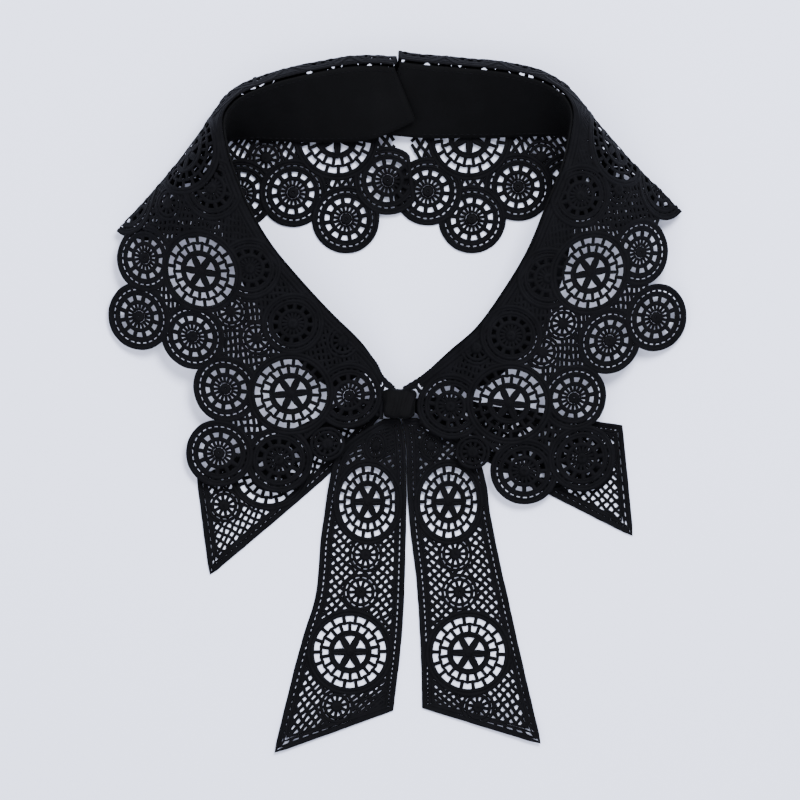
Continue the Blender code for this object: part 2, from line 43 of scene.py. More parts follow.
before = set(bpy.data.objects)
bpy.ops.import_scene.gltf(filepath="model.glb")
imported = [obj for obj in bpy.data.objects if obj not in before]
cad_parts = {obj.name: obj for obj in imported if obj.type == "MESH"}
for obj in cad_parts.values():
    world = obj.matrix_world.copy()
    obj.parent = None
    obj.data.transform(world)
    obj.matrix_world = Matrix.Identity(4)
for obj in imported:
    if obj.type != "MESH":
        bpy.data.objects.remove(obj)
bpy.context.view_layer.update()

MM = 0.001
# The middle of the collar's base, which is the frame's zero, in the tables' own millimetres
BASE_MIDDLE = np.array([-0.4, 0.94, 0.05])
NECK_CENTRE = (0.0, 85.0)
BAND_SETBACK = 1.4
BAND_END_SETBACK = 0.5
BAND_DROP = 0.6
BELLY = 7.0

WHEEL_R = 18.2
MEDALLION_R = 14.2
INNER_R = 13.2
FLOWER_R = 7.4

# The front end of a fall, drawn in above the knot, as places on its sheet
FRONT_END = [(16.0, 0.03), (15.8, 0.055), (15.6, 0.08), (15.4, 0.11), (15.2, 0.14), (15.0, 0.26)]

# A section of a fall runs from the roll line, where the collar turns over, to past its edge.
# tuck 0 slopes straight out, 1 drops behind the roll and turns under; lean is its heading, degrees.
Section = namedtuple("Section", "roll_x roll_y roll_z edge_x edge_y edge_z tuck lean")
FALL_LEFT = [
    Section(-1.6, 142.4, 24.1, 9.0, 66.0, 2.9, 1.0, 90),
    Section(-10.0, 143.1, 24.0, -6.0, 63.0, 2.8, 1.0, 92),
    Section(-24.6, 142.1, 24.0, -21.0, 62.0, 0.8, 1.0, 98),
    Section(-48.0, 137.0, 27.0, -46.0, 66.0, 0.8, 1.0, 104),
    Section(-64.0, 131.0, 31.0, -69.0, 72.0, 0.8, 1.0, 120),
    Section(-71.0, 125.3, 34.5, -94.0, 68.0, 0.8, 0.9, 145),
    Section(-73.9, 119.0, 37.5, -119.0, 71.0, 3.0, 0.35, 165),
    Section(-73.3, 111.0, 38.8, -128.0, 56.0, 1.6, 0.0, 180),
    Section(-70.0, 98.0, 39.0, -126.0, 28.0, 0.9, 0.0, 180),
    Section(-63.5, 82.0, 38.0, -115.0, 6.0, 0.9, 0.0, 200),
    Section(-54.0, 66.0, 34.0, -101.0, -16.0, 1.4, 0.0, 210),
    Section(-42.0, 51.5, 29.0, -93.0, -37.0, 2.8, 0.0, 220),
    Section(-29.5, 38.0, 23.5, -71.0, -48.0, 3.2, 0.0, 225),
    Section(-17.4, 26.2, 18.0, -44.0, -46.0, 4.4, 0.0, 230),
    Section(-10.0, 18.0, 14.5, -25.0, -30.0, 6.6, 0.0, 240),
    Section(-6.9, 12.0, 12.6, -7.4, -14.0, 9.4, 0.0, 260),
    Section(-1.4, 6.9, 12.3, -2.4, -16.0, 9.4, 0.0, 265),
]
FALL_RIGHT = [
    Section(0.8, 144.7, 23.8, -3.0, 66.0, 0.8, 1.0, 90),
    Section(10.0, 143.5, 23.6, 11.0, 64.0, 0.8, 1.0, 88),
    Section(24.0, 142.3, 24.0, 24.0, 62.0, 0.8, 1.0, 84),
    Section(44.0, 140.2, 27.0, 44.0, 64.0, 0.8, 1.0, 78),
    Section(58.0, 136.8, 31.0, 66.0, 72.0, 0.8, 1.0, 62),
    Section(68.5, 130.9, 34.5, 94.0, 74.0, 0.8, 0.9, 38),
    Section(73.2, 123.0, 37.5, 120.0, 80.0, 3.0, 0.35, 15),
    Section(72.6, 113.0, 38.8, 127.0, 62.0, 1.6, 0.0, 0),
    Section(69.0, 98.0, 39.0, 127.0, 32.0, 0.9, 0.0, 0),
    Section(62.5, 82.0, 38.0, 118.0, 8.0, 0.9, 0.0, -20),
    Section(55.0, 64.0, 34.0, 105.0, -16.0, 1.4, 0.0, -30),
    Section(45.5, 48.0, 29.0, 94.0, -38.0, 2.8, 0.0, -40),
    Section(34.0, 32.0, 23.5, 73.0, -50.0, 3.2, 0.0, -45),
    Section(22.5, 21.8, 18.0, 47.0, -48.0, 4.4, 0.0, -50),
    Section(13.8, 15.0, 14.5, 26.0, -32.0, 6.6, 0.0, -60),
    Section(8.9, 11.2, 12.6, 10.0, -16.0, 9.4, 0.0, -80),
    Section(1.8, 6.9, 12.3, 4.0, -17.0, 9.4, 0.0, -85),
]

# The neckband's lower seam below each section of its fall's roll line
Seam = namedtuple("Seam", "section x y z")
SEAM_LEFT = [
    Seam(0, 7.3, 118.9, 14.6), Seam(1, -10.0, 111.6, 11.0), Seam(2, -24.0, 110.2, 6.4),
    Seam(3, -47.0, 110.5, 5.4), Seam(4, -62.5, 111.3, 6.4), Seam(5, -69.5, 111.0, 6.4),
    Seam(6, -74.5, 108.6, 5.8), Seam(7, -77.0, 103.0, 4.8), Seam(8, -76.5, 91.0, 3.2),
    Seam(9, -73.5, 73.5, 2.2), Seam(10, -67.5, 55.5, 1.2), Seam(11, -57.5, 39.0, 0.9),
    Seam(12, -46.5, 24.5, 0.9), Seam(13, -35.5, 12.0, 1.2), Seam(14, -25.5, 5.5, 3.0),
]
SEAM_RIGHT = [
    Seam(0, -8.0, 113.6, 7.6), Seam(1, 10.0, 112.0, 6.2), Seam(2, 24.0, 112.0, 4.9),
    Seam(3, 44.0, 112.3, 5.4), Seam(4, 60.0, 112.8, 6.4), Seam(5, 69.0, 112.5, 6.4),
    Seam(6, 73.5, 109.0, 5.8), Seam(7, 76.0, 104.0, 4.8), Seam(8, 75.5, 91.0, 3.2),
    Seam(9, 73.0, 74.0, 2.2), Seam(10, 69.0, 54.0, 1.2), Seam(11, 61.5, 35.5, 0.9),
    Seam(12, 51.0, 20.0, 0.9), Seam(13, 38.0, 9.5, 1.4), Seam(14, 26.5, 5.5, 3.2),
]

# A tail is cut straight; each station gives its two edges, from the knot to the slanted end
Station = namedtuple("Station", "ax ay az bx by bz")
TAIL_LONG_LEFT = [
    Station(-5.4, -5.8, 7.2, 0.7, -5.8, 7.2), Station(-16.0, -12.0, 5.2, 2.5, -13.0, 5.6),
    Station(-25.5, -20.0, 3.8, 3.1, -22.0, 4.2), Station(-29.0, -32.0, 2.7, 3.3, -32.0, 2.7),
    Station(-31.0, -45.0, 1.3, 3.3, -45.0, 1.3), Station(-32.8, -58.0, 0.7, 3.0, -58.0, 0.7),
    Station(-33.6, -70.0, 0.7, 2.7, -70.0, 0.7), Station(-35.2, -82.0, 0.7, 2.3, -82.0, 0.7),
    Station(-39.0, -94.0, 0.7, 1.6, -94.0, 0.7), Station(-43.0, -108.0, 0.7, 0.4, -107.0, 0.7),
    Station(-47.2, -125.0, 0.9, -1.0, -118.0, 0.7), Station(-52.4, -146.6, 2.2, -2.2, -128.0, 0.7),
]
TAIL_LONG_RIGHT = [
    Station(1.0, -5.8, 7.2, 7.6, -5.8, 7.2), Station(2.8, -13.0, 5.6, 20.0, -11.0, 5.2),
    Station(3.4, -22.0, 4.2, 32.0, -20.0, 3.8), Station(3.6, -32.0, 2.7, 36.6, -32.0, 2.7),
    Station(4.3, -45.0, 1.3, 38.4, -45.0, 1.3), Station(5.6, -58.0, 0.7, 40.7, -57.0, 0.7),
    Station(7.2, -70.0, 0.7, 43.4, -70.0, 0.7), Station(8.2, -82.0, 0.7, 46.2, -82.0, 0.7),
    Station(8.9, -94.0, 0.7, 49.0, -95.0, 0.7), Station(9.5, -107.0, 0.7, 52.2, -109.0, 0.7),
    Station(9.8, -118.0, 0.7, 55.4, -123.0, 0.9), Station(9.9, -127.0, 0.7, 60.1, -142.8, 2.4),
]
TAIL_SHORT_LEFT = [
    Station(-6.4, 3.0, 5.2, -6.4, -3.0, 5.2), Station(-20.0, 1.5, 1.8, -15.0, -13.0, 1.7),
    Station(-34.0, -5.0, 0.8, -27.5, -27.3, 0.8), Station(-52.0, -14.0, 0.7, -45.0, -42.8, 0.7),
    Station(-69.0, -23.0, 0.7, -62.0, -57.2, 0.7), Station(-84.6, -30.7, 0.7, -79.4, -71.8, 0.7),
]
TAIL_SHORT_RIGHT = [
    Station(6.9, 3.0, 5.2, 6.9, -3.0, 5.2), Station(24.0, 3.0, 1.8, 20.0, -13.0, 1.7),
    Station(40.0, -0.5, 0.8, 36.0, -23.0, 0.8), Station(58.0, -3.0, 0.7, 55.0, -33.3, 0.7),
    Station(77.0, -6.0, 0.7, 76.0, -44.0, 0.7), Station(93.9, -8.4, 0.7, 98.7, -55.4, 0.7),
]

# The round motifs, by where they lie in plan; under, fold and over name the layer of the fall.
# The first ones lie over the later ones, whose cords end at their rims.
Motif = namedtuple("Motif", "kind x y layer")
MOTIFS_LEFT = [
    Motif("wheel", -25.8, 113.0, "under"), Motif("wheel", -87.0, 105.0, "fold"),
    Motif("wheel", -82.3, 56.0, "over"), Motif("wheel", -45.2, 5.0, "over"),
    Motif("edge", -4.6, 94.0, "under"), Motif("edge", -22.2, 78.5, "under"),
    Motif("edge", -44.5, 89.5, "under"), Motif("edge", -66.4, 89.5, "under"),
    Motif("edge", -88.0, 84.0, "under"), Motif("edge", -108.0, 83.0, "fold"),
    Motif("edge", -106.5, 61.7, "over"), Motif("edge", -108.6, 37.4, "over"),
    Motif("edge", -86.3, 29.0, "over"), Motif("edge", -72.5, 6.5, "over"),
    Motif("edge", -75.4, -19.7, "over"), Motif("edge", -50.2, -23.3, "over"),
    Motif("edge", -20.6, 3.8, "over"),
    Motif("inner", -77.9, 89.9, "over"), Motif("inner", -62.0, 57.0, "over"),
    Motif("inner", -44.3, 34.0, "over"),
    Motif("flower", -69.9, 39.3, "over"), Motif("flower", -58.6, 27.7, "over"),
    Motif("flower", -23.3, 26.9, "over"), Motif("flower", -30.0, -16.0, "over"),
    Motif("flower", -56.0, 104.0, "under"), Motif("flower", -96.0, 84.0, "over"),
]
MOTIFS_RIGHT = [
    Motif("wheel", 30.0, 112.4, "under"), Motif("wheel", 90.0, 108.0, "fold"),
    Motif("wheel", 80.0, 55.4, "over"), Motif("wheel", 46.0, 0.4, "over"),
    Motif("edge", 12.4, 90.0, "under"), Motif("edge", 30.5, 78.3, "under"),
    Motif("edge", 50.6, 91.1, "under"), Motif("edge", 72.0, 92.0, "under"),
    Motif("edge", 92.0, 89.0, "under"), Motif("edge", 108.8, 91.0, "fold"),
    Motif("edge", 100.6, 64.0, "over"), Motif("edge", 107.3, 36.5, "over"),
    Motif("edge", 88.0, 26.5, "over"), Motif("edge", 73.7, 2.9, "over"),
    Motif("edge", 77.5, -22.3, "over"), Motif("edge", 52.7, -28.1, "over"),
    Motif("edge", 21.6, -0.4, "over"),
    Motif("inner", 75.8, 87.4, "over"), Motif("inner", 62.4, 52.5, "over"),
    Motif("inner", 46.8, 29.0, "over"),
    Motif("flower", 68.7, 34.0, "over"), Motif("flower", 60.3, 22.3, "over"),
    Motif("flower", 32.6, 23.9, "over"), Motif("flower", 30.9, -19.7, "over"),
    Motif("flower", 60.0, 104.0, "under"), Motif("flower", 91.4, 89.9, "over"),
]
LAYERS = {"under": (0.0, 5.6), "fold": (5.6, 6.4), "over": (6.4, 15.0)}
# The medallions of the inner row that stand up behind the neckband, by section and reach
INNER_BACK = [(0.75, 0.27), (2.35, 0.27), (3.6, 0.26), (4.75, 0.25)]

# The tails' motifs, by plan place and radius; squeeze is the share of the breadth that is left
# where the gathers by the knot narrow the tail
TailMotif = namedtuple("TailMotif", "kind x y radius squeeze")
MOTIFS_LONG_LEFT = [
    TailMotif("wheel", -12.9, -40.5, WHEEL_R, 0.8), TailMotif("wheel", -20.2, -103.7, WHEEL_R, 1.0),
    TailMotif("flower", -13.9, -62.8, 7.6, 0.95), TailMotif("flower", -16.0, -78.7, 7.8, 1.0),
    TailMotif("flower", -26.2, -126.2, 7.2, 1.0), TailMotif("flower", -9.5, -17.2, 6.4, 0.75),
]
MOTIFS_LONG_RIGHT = [
    TailMotif("wheel", 21.0, -40.5, WHEEL_R, 0.8), TailMotif("wheel", 29.6, -104.2, WHEEL_R, 1.0),
    TailMotif("flower", 23.9, -62.8, 7.6, 0.95), TailMotif("flower", 25.6, -78.5, 7.8, 1.0),
    TailMotif("flower", 33.6, -126.6, 7.2, 1.0), TailMotif("flower", 13.5, -17.2, 6.4, 0.75),
]
MOTIFS_SHORT_LEFT = [
    TailMotif("wheel", -53.8, -28.4, 17.0, 0.92), TailMotif("flower", -72.9, -42.2, 7.2, 1.0),
    TailMotif("flower", -31.5, -14.5, 7.0, 0.9),
]
MOTIFS_SHORT_RIGHT = [
    TailMotif("wheel", 61.0, -20.6, 17.0, 0.92), TailMotif("flower", 82.5, -26.6, 7.2, 1.0),
    TailMotif("flower", 37.5, -11.0, 7.0, 0.9),
]

KNOT_CENTRE = np.array([0.3, 0.0, 8.9])
KNOT_HALF = np.array([7.0, 5.9, 6.6])
KNOT_SQUARENESS = 5
KNOT_SHRINK = 0.05
# The cloth of the knot spreads where it runs up into the two ends of the roll
KNOT_SPREAD = 0.27
KNOT_REACH = 0.2
WRAP_RISE = 0.07
WRAP_BREADTH = 0.34
PLEAT_RISE = 0.028
PLEAT_PITCH = 9
CREASE_RISE = 0.014
CREASE_PITCH = 23
PLEAT_SLANT = 0.3

# The photographed frame, 800 pixels square, in the tables' millimetres
MM_PER_PIXEL = 0.42
FRAME_PIXELS = 800
FRAME_MIDDLE = (0.63, 2.1)
CAMERA_HEIGHT = 4.0
SENSOR = 36.0


class CollarSettings(bpy.types.PropertyGroup):
    """The sizes and colours a user would change."""

    net_pitch: bpy.props.FloatProperty(
        name="Net mesh", description="Side of one diamond of the net ground",
        default=0.0027, min=0.001, unit="LENGTH")
    net_cord: bpy.props.FloatProperty(
        name="Net cord", description="Width of the net's cords",
        default=0.00135, min=0.0001, unit="LENGTH")
    fullness: bpy.props.FloatProperty(
        name="Cord fullness", description="Width that every lace cord gains from its padding",
        default=0.00012, min=0.0, unit="LENGTH")
    cord_flatness: bpy.props.FloatProperty(
        name="Cord flatness", description="Height of a cord as a share of its width",
        default=0.3, min=0.2, max=1.0, subtype="FACTOR")
    cord_sides: bpy.props.IntProperty(
        name="Cord sides", description="Sides of the cord's round section",
        default=6, min=4, max=12)
    band_wall: bpy.props.FloatProperty(
        name="Band thickness", description="Thickness of the doubled neckband cloth",
        default=0.0013, min=0.0005, unit="LENGTH")
    stitch_pitch: bpy.props.FloatProperty(
        name="Stitch pitch", description="Distance from one stitch to the next",
        default=0.0026, min=0.001, unit="LENGTH")
    lace_colour: bpy.props.FloatVectorProperty(
        name="Lace colour", description="Colour of the embroidery thread",
        default=(0.0022, 0.0022, 0.0028), min=0.0, max=1.0, size=3, subtype="COLOR")
    cloth_colour: bpy.props.FloatVectorProperty(
        name="Cloth colour", description="Colour of the neckband and the knot",
        default=(0.0012, 0.0012, 0.0015), min=0.0, max=1.0, size=3, subtype="COLOR")
    floor_colour: bpy.props.FloatVectorProperty(
        name="Floor colour", description="Colour of the pale surface",
        default=(0.77, 0.80, 0.99), min=0.0, max=1.0, size=3, subtype="COLOR")


class Sheet:
    """A curved panel: u counts along its sections, v runs from 0 to 1 across them."""

    STEPS = 24

    def __init__(self, controls):
        self.controls = np.array(controls, dtype=float)
        self.last = len(controls) - 1
        self.u_table = np.linspace(0.0, self.last, self.last * self.STEPS + 1)
        across = np.linspace(0.0, 1.0, self.STEPS + 1)
        grid = self.point(self.u_table[:, None], across[None, :])
        self.length = np.linalg.norm(np.diff(grid, axis=1), axis=2).sum(axis=1)
        along = np.linalg.norm(np.diff(grid, axis=0), axis=2).mean(axis=1)
        self.run = np.concatenate([[0.0], np.cumsum(along)])

    def point(self, u, v):
        """The place of (u, v): a smooth curve through the sections, a Bezier curve along each."""
        u, v = np.broadcast_arrays(np.asarray(u, float), np.asarray(v, float))
        low = np.clip(np.floor(u).astype(int), 0, self.last - 1)
        t = (u - low)[..., None, None]
        rows = self.controls
        after = rows[low + 1]
        here = rows[low]
        before = np.where((low > 0)[..., None, None], rows[np.maximum(low - 1, 0)], 2 * here - after)
        further = np.where((low < self.last - 1)[..., None, None],
                           rows[np.minimum(low + 2, self.last)], 2 * after - here)
        bend = (2 * here + (after - before) * t
                + (2 * before - 5 * here + 4 * after - further) * t ** 2
                + (3 * here - before - 3 * after + further) * t ** 3) / 2
        w = v[..., None]
        return ((1 - w) ** 3 * bend[..., 0, :] + 3 * (1 - w) ** 2 * w * bend[..., 1, :]
                + 3 * (1 - w) * w ** 2 * bend[..., 2, :] + w ** 3 * bend[..., 3, :])

    def slopes(self, u, v):
        """The two tangents at (u, v)."""
        small = 1e-4
        u_low, u_high = np.maximum(u - small, 0.0), np.minimum(u + small, self.last)
        v_low, v_high = np.maximum(v - small, 0.0), np.minimum(v + small, 1.0)
        along = (self.point(u_high, v) - self.point(u_low, v)) / (u_high - u_low)[..., None]
        across = (self.point(u, v_high) - self.point(u, v_low)) / (v_high - v_low)[..., None]
        return along, across

    def normal(self, u, v):
        """The unit normal at (u, v)."""
        along, across = self.slopes(u, v)
        normal = np.cross(along, across)
        return normal / np.linalg.norm(normal, axis=-1, keepdims=True)

    def flat(self, u, v):
        """(u, v) to lengths along and across the cloth."""
        return np.stack([np.interp(u, self.u_table, self.run),
                         v * np.interp(u, self.u_table, self.length)], axis=-1)

    def unflat(self, places):
        """Lengths along and across the cloth, back to u and v."""
        u = np.interp(places[:, 0], self.run, self.u_table)
        v = places[:, 1] / np.interp(u, self.u_table, self.length)
        return u, np.clip(v, 0.0, 1.0)

    def find(self, x, y, u_low, u_high):
        """The (u, v) between two sections that lies at (x, y) in plan."""
        u, v = np.meshgrid(np.linspace(u_low, u_high, 160), np.linspace(0.02, 0.98, 120),
                           indexing="ij")
        places = self.point(u, v)
        away = (places[..., 0] - x) ** 2 + (places[..., 1] - y) ** 2
        best = np.unravel_index(np.argmin(away), away.shape)
        return float(u[best]), float(v[best])


class Patch:
    """Polar paper pinned to a sheet: it turns a motif's own x and y into places on the cloth."""

    RAYS = 48
    STEPS = 12

    def __init__(self, sheet, centre, reach):
        self.reach = reach
        angles = np.arange(self.RAYS) * 2 * math.pi / self.RAYS
        u = np.full(self.RAYS, centre[0])
        v = np.full(self.RAYS, centre[1])
        self.middle = sheet.point(u[:1], v[:1])[0]
        self.section = centre[0]
        across = sheet.slopes(u, v)[1]
        side = across / np.linalg.norm(across, axis=-1, keepdims=True)
        self.across = side[0]
        normal = sheet.normal(u, v)
        heading = side * np.cos(angles)[:, None] + np.cross(normal, side) * np.sin(angles)[:, None]
        stride = reach / self.STEPS
        rows = [np.stack([u, v], axis=-1)]
        for _ in range(self.STEPS):
            along, across = sheet.slopes(u, v)
            aa = (along * along).sum(axis=1)
            ab = (along * across).sum(axis=1)
            bb = (across * across).sum(axis=1)
            ha = (heading * along).sum(axis=1)
            hb = (heading * across).sum(axis=1)
            share = aa * bb - ab * ab
            u = np.clip(u + stride * (ha * bb - hb * ab) / share, 0.0, sheet.last)
            v = np.clip(v + stride * (hb * aa - ha * ab) / share, 0.0, 1.0)
            normal = sheet.normal(u, v)
            heading = heading - normal * (heading * normal).sum(axis=1, keepdims=True)
            heading = heading / np.linalg.norm(heading, axis=1, keepdims=True)
            rows.append(np.stack([u, v], axis=-1))
        self.table = np.array(rows)

    def place(self, path):
        """The motif's own points, in millimetres from its centre, as u and v on the sheet."""
        radius = np.hypot(path[:, 0], path[:, 1]) / self.reach * self.STEPS
        angle = np.mod(np.arctan2(path[:, 1], path[:, 0]) / (2 * math.pi), 1.0) * self.RAYS
        ring = np.clip(radius.astype(int), 0, self.STEPS - 1)
        ray = angle.astype(int) % self.RAYS
        following = (ray + 1) % self.RAYS
        s = (radius - ring)[:, None]
        t = (angle - np.floor(angle))[:, None]
        inner = self.table[ring, ray] * (1 - t) + self.table[ring, following] * t
        outer = self.table[ring + 1, ray] * (1 - t) + self.table[ring + 1, following] * t
        mixed = inner * (1 - s) + outer * s
        return mixed[:, 0], mixed[:, 1]


def fall_sheet(sections):
    """The surface of half a fall, from its table."""
    controls = []
    for s in sections:
        roll = np.array([s.roll_x, s.roll_y, s.roll_z])
        edge = np.array([s.edge_x, s.edge_y, s.edge_z])
        drop = s.roll_z - s.edge_z
        out = np.array([math.cos(math.radians(s.lean)), math.sin(math.radians(s.lean)), 0.0])
        slope_near = roll + (edge - roll) * 0.24
        slope_near[2] = s.roll_z + 0.5
        slope_far = roll + (edge - roll) * 0.64
        slope_far[2] = s.edge_z + 0.2 * drop
        tuck_near = roll + out * BELLY * 1.3
        tuck_near[2] = s.edge_z + 0.4 * drop
        tuck_far = roll + out * BELLY * 0.5
        tuck_far[2] = s.edge_z
        near = slope_near + (tuck_near - slope_near) * s.tuck
        far = slope_far + (tuck_far - slope_far) * s.tuck
        controls.append([roll, near, far, edge])
    return Sheet(controls)


def straight_section(start, end):
    """The control points of a section that runs straight from start to end."""
    start, end = np.array(start, float), np.array(end, float)
    return [start, start + (end - start) / 3, start + (end - start) * 2 / 3, end]


def band_sheet(fall, seams):
    """The neckband's surface, hung inside the roll line of its fall."""
    controls = []
    for seam in seams:
        section = np.array([float(seam.section)])
        roll = fall.point(section, np.array([0.0]))[0]
        along = fall.slopes(section, np.array([0.0]))[0][0]
        inward = np.array([-along[1], along[0], 0.0])
        inward = inward / np.linalg.norm(inward)
        to_neck = np.array([*NECK_CENTRE, 0.0]) - roll
        if np.dot(inward[:2], to_neck[:2]) < 0:
            inward = -inward
        last = seam is seams[-1]
        top = roll + inward * (BAND_END_SETBACK if last else BAND_SETBACK)
        top[2] = roll[2] - BAND_DROP
        controls.append(straight_section(top, (seam.x, seam.y, seam.z)))
    return Sheet(controls)


def tail_sheet(stations):
    """The surface of a tail, from its two edges."""
    return Sheet([straight_section((s.ax, s.ay, s.az), (s.bx, s.by, s.bz)) for s in stations])


def inside(points, polygon):
    """Which of the points lie inside a polygon."""
    x, y = points[:, 0], points[:, 1]
    result = np.zeros(len(points), dtype=bool)
    for (ax, ay), (bx, by) in zip(polygon, np.roll(polygon, -1, axis=0)):
        crosses = (ay > y) != (by > y)
        with np.errstate(divide="ignore", invalid="ignore"):
            at = (bx - ax) * (y - ay) / (by - ay) + ax
        result ^= crosses & (x < at)
    return result


# One cord of a motif: its path in millimetres, its width, whether it closes, how far it stands up
Strand = namedtuple("Strand", "path width closed lift")


def polar(radii, angles):
    """Points from radii and angles."""
    return np.stack([radii * np.cos(angles), radii * np.sin(angles)], axis=-1)


def hoop(radius, width, sides, lift=0.0, waves=0, depth=0.0):
    """A closed ring of cord, plain or waved."""
    angles = np.arange(sides) * 2 * math.pi / sides
    radii = radius + depth * np.cos(waves * angles)
    return Strand(polar(radii, angles), width, True, lift)


def spokes(count, inner, outer, width, turn=0.0, lift=0.0):
    """Short bars between two radii."""
    bars = []
    for k in range(count):
        angle = (k + turn) * 2 * math.pi / count
        bars.append(Strand(polar(np.array([inner, outer]), np.full(2, angle)), width, False, lift))
    return bars


def leaves(count, inner, outer, width, lift):
    """Leaves made of two satin halves, with a vein between them."""
    radii = np.linspace(inner, outer, 6)
    belly = width * np.array([0.5, 0.85, 1.0, 1.0, 0.9, 0.78])
    halves = []
    for k in range(count):
        angle = k * 2 * math.pi / count
        out = np.array([math.cos(angle), math.sin(angle)])
        side = np.array([-out[1], out[0]])
        for hand in (-1.0, 1.0):
            path = radii[:, None] * out + (hand * belly / 4)[:, None] * side
            halves.append(Strand(path, belly * 0.62, False, lift))
    return halves


def medallion(radius):
    """A medallion: four rings with a dashed slit, a ring of gaps, sixteen slits and a knob."""
    strands = [
        hoop(radius * 0.955, 1.55, 48, 0.2), hoop(radius * 0.870, 1.2, 44, 0.12),
        hoop(radius * 0.745, 1.25, 38, 0.12), hoop(radius * 0.670, 1.15, 34, 0.06),
        hoop(radius * 0.425, 1.7, 24, 0.08), hoop(radius * 0.095, 2.3, 9, 0.2),
    ]
    strands += spokes(26, radius * 0.76, radius * 0.86, 1.15)
    strands += spokes(12, radius * 0.45, radius * 0.66, 1.7, 0.25, 0.05)
    strands += spokes(16, radius * 0.18, radius * 0.40, 1.15, 0.5, 0.03)
    return strands


def wheel(radius):
    """A wheel: a corded rim, two staggered rings of gaps and a hub of six leaves."""
    strands = [
        hoop(radius * 0.960, 1.5, 56, 0.2), hoop(radius * 0.877, 1.55, 52, 0.12),
        hoop(radius * 0.672, 1.0, 72, 0.03, 18, -radius * 0.014),
        hoop(radius * 0.462, 1.4, 34, 0.12), hoop(radius * 0.400, 1.15, 30, 0.06),
        hoop(radius * 0.05, 1.8, 7, 0.2),
    ]
    strands += spokes(18, radius * 0.67, radius * 0.86, 1.4)
    strands += spokes(18, radius * 0.47, radius * 0.67, 1.35, 0.5)
    strands += leaves(6, radius * 0.04, radius * 0.39, radius * 0.148, 0.14)
    return strands


def flower(radius):
    """A small ring flower with a dense middle."""
    strands = [
        hoop(radius * 0.91, 1.25, 28, 0.12), hoop(radius * 0.68, 1.3, 22, 0.1),
        hoop(radius * 0.175, 2.5, 9, 0.15),
    ]
    strands += spokes(13, radius * 0.68, radius * 0.90, 1.1, 0.2)
    strands += spokes(10, radius * 0.30, radius * 0.64, 1.3)
    return strands


DRAW = {"wheel": wheel, "edge": medallion, "inner": medallion, "flower": flower}
RADII = {"wheel": WHEEL_R, "edge": MEDALLION_R, "inner": INNER_R, "flower": FLOWER_R}


def chain(count, closed=False, first=0):
    """The pairs of neighbours along a path, as an array."""
    here = np.arange(count if closed else count - 1)
    return np.stack([here, (here + 1) % count], axis=-1) + first


def ragged(count, amount, phase=0.0):
    """Small uneven shares above and below 1, the same on every run."""
    steps = np.arange(count) + phase
    return 1.0 + amount * (np.sin(steps * 2.399) + np.sin(steps * 5.131)) / 2


